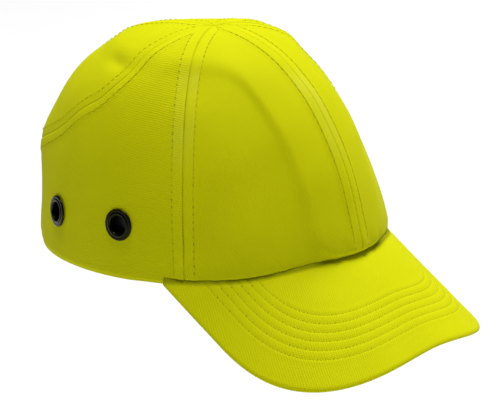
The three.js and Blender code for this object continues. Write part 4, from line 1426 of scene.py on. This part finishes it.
def slot_cutter(degrees, height, length, width):
    """A long hole's outline, carried through the shell."""
    point, normal = on_crown(degrees, height, SHELL_DEPTH)
    side, up = basis_of(normal)
    radius, half = width / 2, length / 2 - width / 2
    end = [(half + radius * math.cos(a), radius * math.sin(a)) for a in np.linspace(-1, 1, 9) * math.pi / 2]
    outline = end + [(-x, -y) for x, y in end]
    points = [point + side * x + up * y + normal * d for d in (-8.0, 8.0) for x, y in outline]
    return points, tube_faces(2, len(outline))


def shell_material():
    n = Nodes("black_abs", Specular_IOR_Level=0.45)
    grain = n.noise(n.position(), 900.0, 3.0, 0.6)
    flow = n.noise(n.position(), 45.0, 2.0)
    n.color(n.mix(n.ramp(flow, 0.3, 0.7), (0.012, 0.012, 0.013), (0.020, 0.020, 0.022)))
    n.roughness(n.ramp(grain, 0.3, 0.7, 0.3, 0.5))
    n.bump(grain, 0.25, 0.0001)
    return n.material


def shell_foot(headings):
    return t_at_height(headings, shell_edge(headings))


def impact_shell():
    piece = shell_dish("moulded_shell", shell_foot, SHELL_DEPTH, SHELL_THICK, 240, 90, shell_material(),
                       shell_relief)
    cutters = [slot_cutter(side * heading, *size) for heading, *size in SLOTS for side in (1, -1)]
    boolean_cut(piece, join("cutter", cutters, piece.data.materials[0], smooth_shade=False))
    piece.data.polygons.foreach_set("use_smooth", [True] * len(piece.data.polygons))
    edges = piece.modifiers.new("edges", "WEIGHTED_NORMAL")
    edges.keep_sharp = True
    piece.data.set_sharp_from_angle(angle=40 * RAD)
    finish_piece(piece, ["impact_shell"], "insert")


impact_shell()


# ---- foam pads ----------------------------------------------------------------------------

PAD_DEPTH = SHELL_DEPTH + SHELL_THICK + 1.5
PAD_THICK = 3.4
CROWN_PAD_T = 0.725     # t of the crown pad's edge
SWELL_FRAMES = 20
# headings from and to, and heights from and to
PADS = {
    "front": (-39, 39, 31.5, 64.5),
    "left": (67.5, 114.5, 51.5, 82.5),
    "right": (-114.5, -67.5, 51.5, 82.5),
    "rear": (147.5, 212.5, 59.5, 86.5),
}


def pad_material():
    n = Nodes("pad_cloth", Roughness=0.92, Specular_IOR_Level=0.12, Sheen_Weight=0.35, Sheen_Roughness=0.5)
    knit = n.node("TexVoronoi")
    n.link(n.position(), knit.inputs["Vector"])
    knit.inputs["Scale"].default_value = 900.0
    cells = knit.outputs["Distance"]
    soft = n.noise(n.position(), 60.0, 2.0)
    tone = n.mix(n.ramp(cells, 0.0, 0.6), (0.035, 0.037, 0.040), (0.012, 0.013, 0.014))
    n.color(n.mix(n.ramp(soft, 0.3, 0.7, 0.0, 0.35), tone, (0.05, 0.052, 0.055)))
    n.bump(n.minus(n.times(soft, 0.5), cells), 0.5, 0.0004)
    return n.material


def pad_block(name, from_heading, to_heading, low, high, material):
    """A closed pad with rounded corners in plan, under the shell."""
    columns, rows = 44, 22
    u = np.linspace(-1, 1, columns)[None]
    v = np.linspace(-1, 1, rows)[:, None]
    corner_u = u * np.sqrt(1 - 0.18 * v ** 8)
    corner_v = v * np.sqrt(1 - 0.3 * u ** 8)
    heading = (from_heading + to_heading) / 2 + corner_u * (to_heading - from_heading) / 2
    height = (low + high) / 2 + corner_v * (high - low) / 2
    points, out = crown(heading, t_at_height(heading, height))
    outer = points - out * PAD_DEPTH
    inner = points - out * (PAD_DEPTH + PAD_THICK)
    return make_object(name, np.vstack([outer.reshape(-1, 3), inner.reshape(-1, 3)]),
                       slab_faces(rows, columns), material)


def swell(piece, voxel=2.0, pressure=4.0, most=0.9):
    """Remesh a pad and inflate it as cloth, capping how far any point moves, in millimetres."""
    remesh = piece.modifiers.new("remesh", "REMESH")
    remesh.mode = "VOXEL"
    remesh.voxel_size = voxel * MM
    apply_modifiers(piece)
    start = read_vectors(piece.data.vertices, "co")
    cloth = piece.modifiers.new("cloth", "CLOTH")
    cloth.settings.use_pressure = True
    cloth.settings.uniform_pressure_force = pressure
    cloth.settings.effector_weights.gravity = 0.0
    cloth.settings.tension_stiffness = 30
    cloth.settings.bending_stiffness = 2
    scene = bpy.context.scene
    scene.frame_start, scene.frame_end = 1, SWELL_FRAMES
    for frame_number in range(1, SWELL_FRAMES + 1):
        scene.frame_set(frame_number)
    moved = read_vectors(evaluated(piece).data.vertices, "co")
    piece.modifiers.clear()
    scene.frame_set(1)
    step = moved - start
    length = np.linalg.norm(step, axis=1, keepdims=True)
    limit = most * MM
    start = start + step * (limit * np.tanh(length / limit) / np.maximum(length, 1e-9))
    piece.data.vertices.foreach_set("co", start.ravel())
    piece.data.polygons.foreach_set("use_smooth", [True] * len(piece.data.polygons))
    smoother = piece.modifiers.new("smooth", "SUBSURF")
    smoother.levels = smoother.render_levels = 1
    return piece


def crown_pad_foot(headings):
    return np.full(len(headings), CROWN_PAD_T)


def foam_pads():
    cloth = pad_material()
    for name, (a, b, low, high) in PADS.items():
        piece = swell(pad_block("pad_" + name, a, b, low, high, cloth))
        finish_piece(piece, ["foam_pad_" + name], "insert")
    piece = shell_dish("pad_crown", crown_pad_foot, PAD_DEPTH, PAD_THICK, 72, 16, cloth)
    finish_piece(swell(piece), ["foam_pad_crown"], "insert")


foam_pads()


# ---- rear strap ---------------------------------------------------------------------------

STRAP_LOW = 1.0
STRAP_HEIGHT = 22.0
STRAP_THICK = 1.4
PILE_THICK = 0.9
STRAP_SEWN = 144.0      # headings: where a strap is sewn on, where the outer one peels to, where it
STRAP_HINGE = 194.0     # goes under the cover, and the free ends
STRAP_UNDER = 203.0
OUTER_TIP = 160.0
INNER_TIP = 192.0
INNER_DEPTH = 2.3       # depths of the four layers under the crown's outer face
LOOP_DEPTH = 1.1
HOOK_DEPTH = -0.1
OUTER_DEPTH = -1.8


def tip(headings, at, side=1, reach=4.5):
    """Height share of a strap with a rounded end at a heading."""
    k = np.clip((headings - at) * side / reach, 0, 1)
    return 0.55 + 0.45 * np.sqrt(1 - (1 - k) ** 2)


def pile_material(name, bright):
    n = Nodes(name, Roughness=0.95, Specular_IOR_Level=0.1, Sheen_Weight=0.4)
    loops = n.noise(n.position(), 2200.0, 2.0, 0.7)
    rows = n.wave(n.separate(n.position())[2], 0.0011)
    n.color(n.mix(n.ramp(loops, 0.35, 0.65), (0.006, 0.006, 0.007), bright))
    n.bump(n.plus(loops, n.times(rows, 0.3)), 0.8, 0.0004)
    return n.material


def strap_headings(start, end):
    return np.linspace(start, end, 1 + int((end - start) / 0.5))


def strap_strip(name, headings, depth, squeeze):
    """A strap of cover cloth with two stitched hems, at depth(headings) under the crown's face."""
    profile = upright_profile(STRAP_HEIGHT, 0.0, STRAP_THICK, 0.0, (2.4, 19.6))
    low = np.full(headings.shape, STRAP_LOW)
    return wrapped(name, headings, low, profile, TWILL, lambda h, p: depth(h), squeeze)


def pile_patch(name, headings, depth, material):
    """A patch of hook or loop pile with a rough face, 2 mm inside the strap's edges."""
    def nap(h, p):
        return depth + 0.12 * np.sin(h * 9.7 + p[..., 0] * 5.3) * np.sin(h * 4.1 - p[..., 0] * 7.7)

    profile = upright_profile(STRAP_HEIGHT - 4, 0.0, PILE_THICK, 0.0, (1.2, 16.8))
    return wrapped(name, headings, np.full(headings.shape, STRAP_LOW + 2), profile, material, nap)


def inner_depth(headings):
    return np.full(headings.shape, INNER_DEPTH)


def outer_depth(headings):
    """The outer strap goes from its place on top down to the inner strap's depth at its root."""
    return OUTER_DEPTH + (INNER_DEPTH - OUTER_DEPTH) * smooth(headings, STRAP_HINGE, STRAP_UNDER)


def rear_strap():
    headings = strap_headings(STRAP_SEWN, INNER_TIP)
    inner = strap_strip("strap_under", headings, inner_depth, tip(headings, INNER_TIP, side=-1))
    finish_piece(inner, ["strap_inner"], "cover")
    headings = strap_headings(OUTER_TIP, 360 - STRAP_SEWN)
    outer = strap_strip("strap_over", headings, outer_depth, tip(headings, OUTER_TIP))
    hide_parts("strap_outer_root", "strap_outer")
    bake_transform(outer)
    loops = pile_patch("pile_loops", strap_headings(OUTER_TIP - 4, INNER_TIP - 1), LOOP_DEPTH,
                       pile_material("loop_pile", (0.03, 0.03, 0.033)))
    finish_piece(loops, ["loop_patch"], "cover")
    hooks = pile_patch("pile_hooks", strap_headings(OUTER_TIP + 2, INNER_TIP - 4), HOOK_DEPTH,
                       pile_material("hook_pile", (0.02, 0.02, 0.022)))
    finish_piece(hooks, ["hook_patch"], "strap_flap")


rear_strap()


# ---- floor, light and camera --------------------------------------------------------------

FLOOR_SIZE = 300.0      # half the floor's width; metres from here on
FLOOR_Z = -0.17
LIGHT_AIM = Vector((0, -0.02, 0.04))
LIGHT_SIZE = 2.2
CAMERA_AZIMUTH, CAMERA_ELEVATION, CAMERA_ROLL = -48.96, 15.86, -1.8
CAMERA_LENS, CAMERA_SENSOR = 167.94, 36.0
CAMERA_DISTANCE = 1.3
CAMERA_RIGHT, CAMERA_UP = 0.0212, 0.0182


def stage():
    floor_paint = Nodes("floor_paint", Roughness=0.9)
    floor_paint.color((0.88, 0.88, 0.88))
    corners = [(x * FLOOR_SIZE, y * FLOOR_SIZE, FLOOR_Z) for x, y in ((-1, -1), (1, -1), (1, 1), (-1, 1))]
    mesh = bpy.data.meshes.new("floor")
    mesh.from_pydata(corners, [], [(0, 1, 2, 3)])
    mesh.materials.append(floor_paint.material)
    floor = bpy.data.objects.new("floor", mesh)
    bpy.context.scene.collection.objects.link(floor)


def area_light(name, place, power):
    """A round soft box that points at the cap."""
    data = bpy.data.lights.new(name, "AREA")
    data.shape = "DISK"
    data.size = LIGHT_SIZE
    data.energy = power
    light = bpy.data.objects.new(name, data)
    light.location = place
    aim = LIGHT_AIM - Vector(place)
    light.rotation_euler = aim.to_track_quat("-Z", "Y").to_euler()
    bpy.context.scene.collection.objects.link(light)


def camera():
    azimuth, elevation, roll = CAMERA_AZIMUTH * RAD, CAMERA_ELEVATION * RAD, CAMERA_ROLL * RAD
    level = Vector((math.sin(azimuth), -math.cos(azimuth), 0))
    back = level * math.cos(elevation) + Vector((0, 0, math.sin(elevation)))
    right = Vector((math.cos(azimuth), math.sin(azimuth), 0))
    up = back.cross(right)
    right_rolled = right * math.cos(roll) + up * math.sin(roll)
    up_rolled = up * math.cos(roll) - right * math.sin(roll)
    data = bpy.data.cameras.new("camera")
    data.sensor_width = CAMERA_SENSOR
    data.lens = CAMERA_LENS
    data.clip_end = 50
    view = bpy.data.objects.new("camera", data)
    place = right * CAMERA_RIGHT + Vector((0, 0, CAMERA_UP)) + back * CAMERA_DISTANCE
    turn = Matrix((right_rolled, up_rolled, back)).transposed().to_4x4()
    view.matrix_world = Matrix.Translation(place) @ turn
    bpy.context.scene.collection.objects.link(view)
    bpy.context.scene.camera = view


def world():
    """A faint white light from all round."""
    made = bpy.data.worlds.new("studio")
    made.use_nodes = True
    background = made.node_tree.nodes["Background"]
    background.inputs["Color"].default_value = (1, 1, 1, 1)
    background.inputs["Strength"].default_value = 0.045
    bpy.context.scene.world = made


stage()
world()
area_light("key", (2.53, 0.22, 4.77), 168)
area_light("top", (0.0, -0.19, 5.4), 214)
camera()
bpy.context.scene.view_settings.view_transform = "Standard"
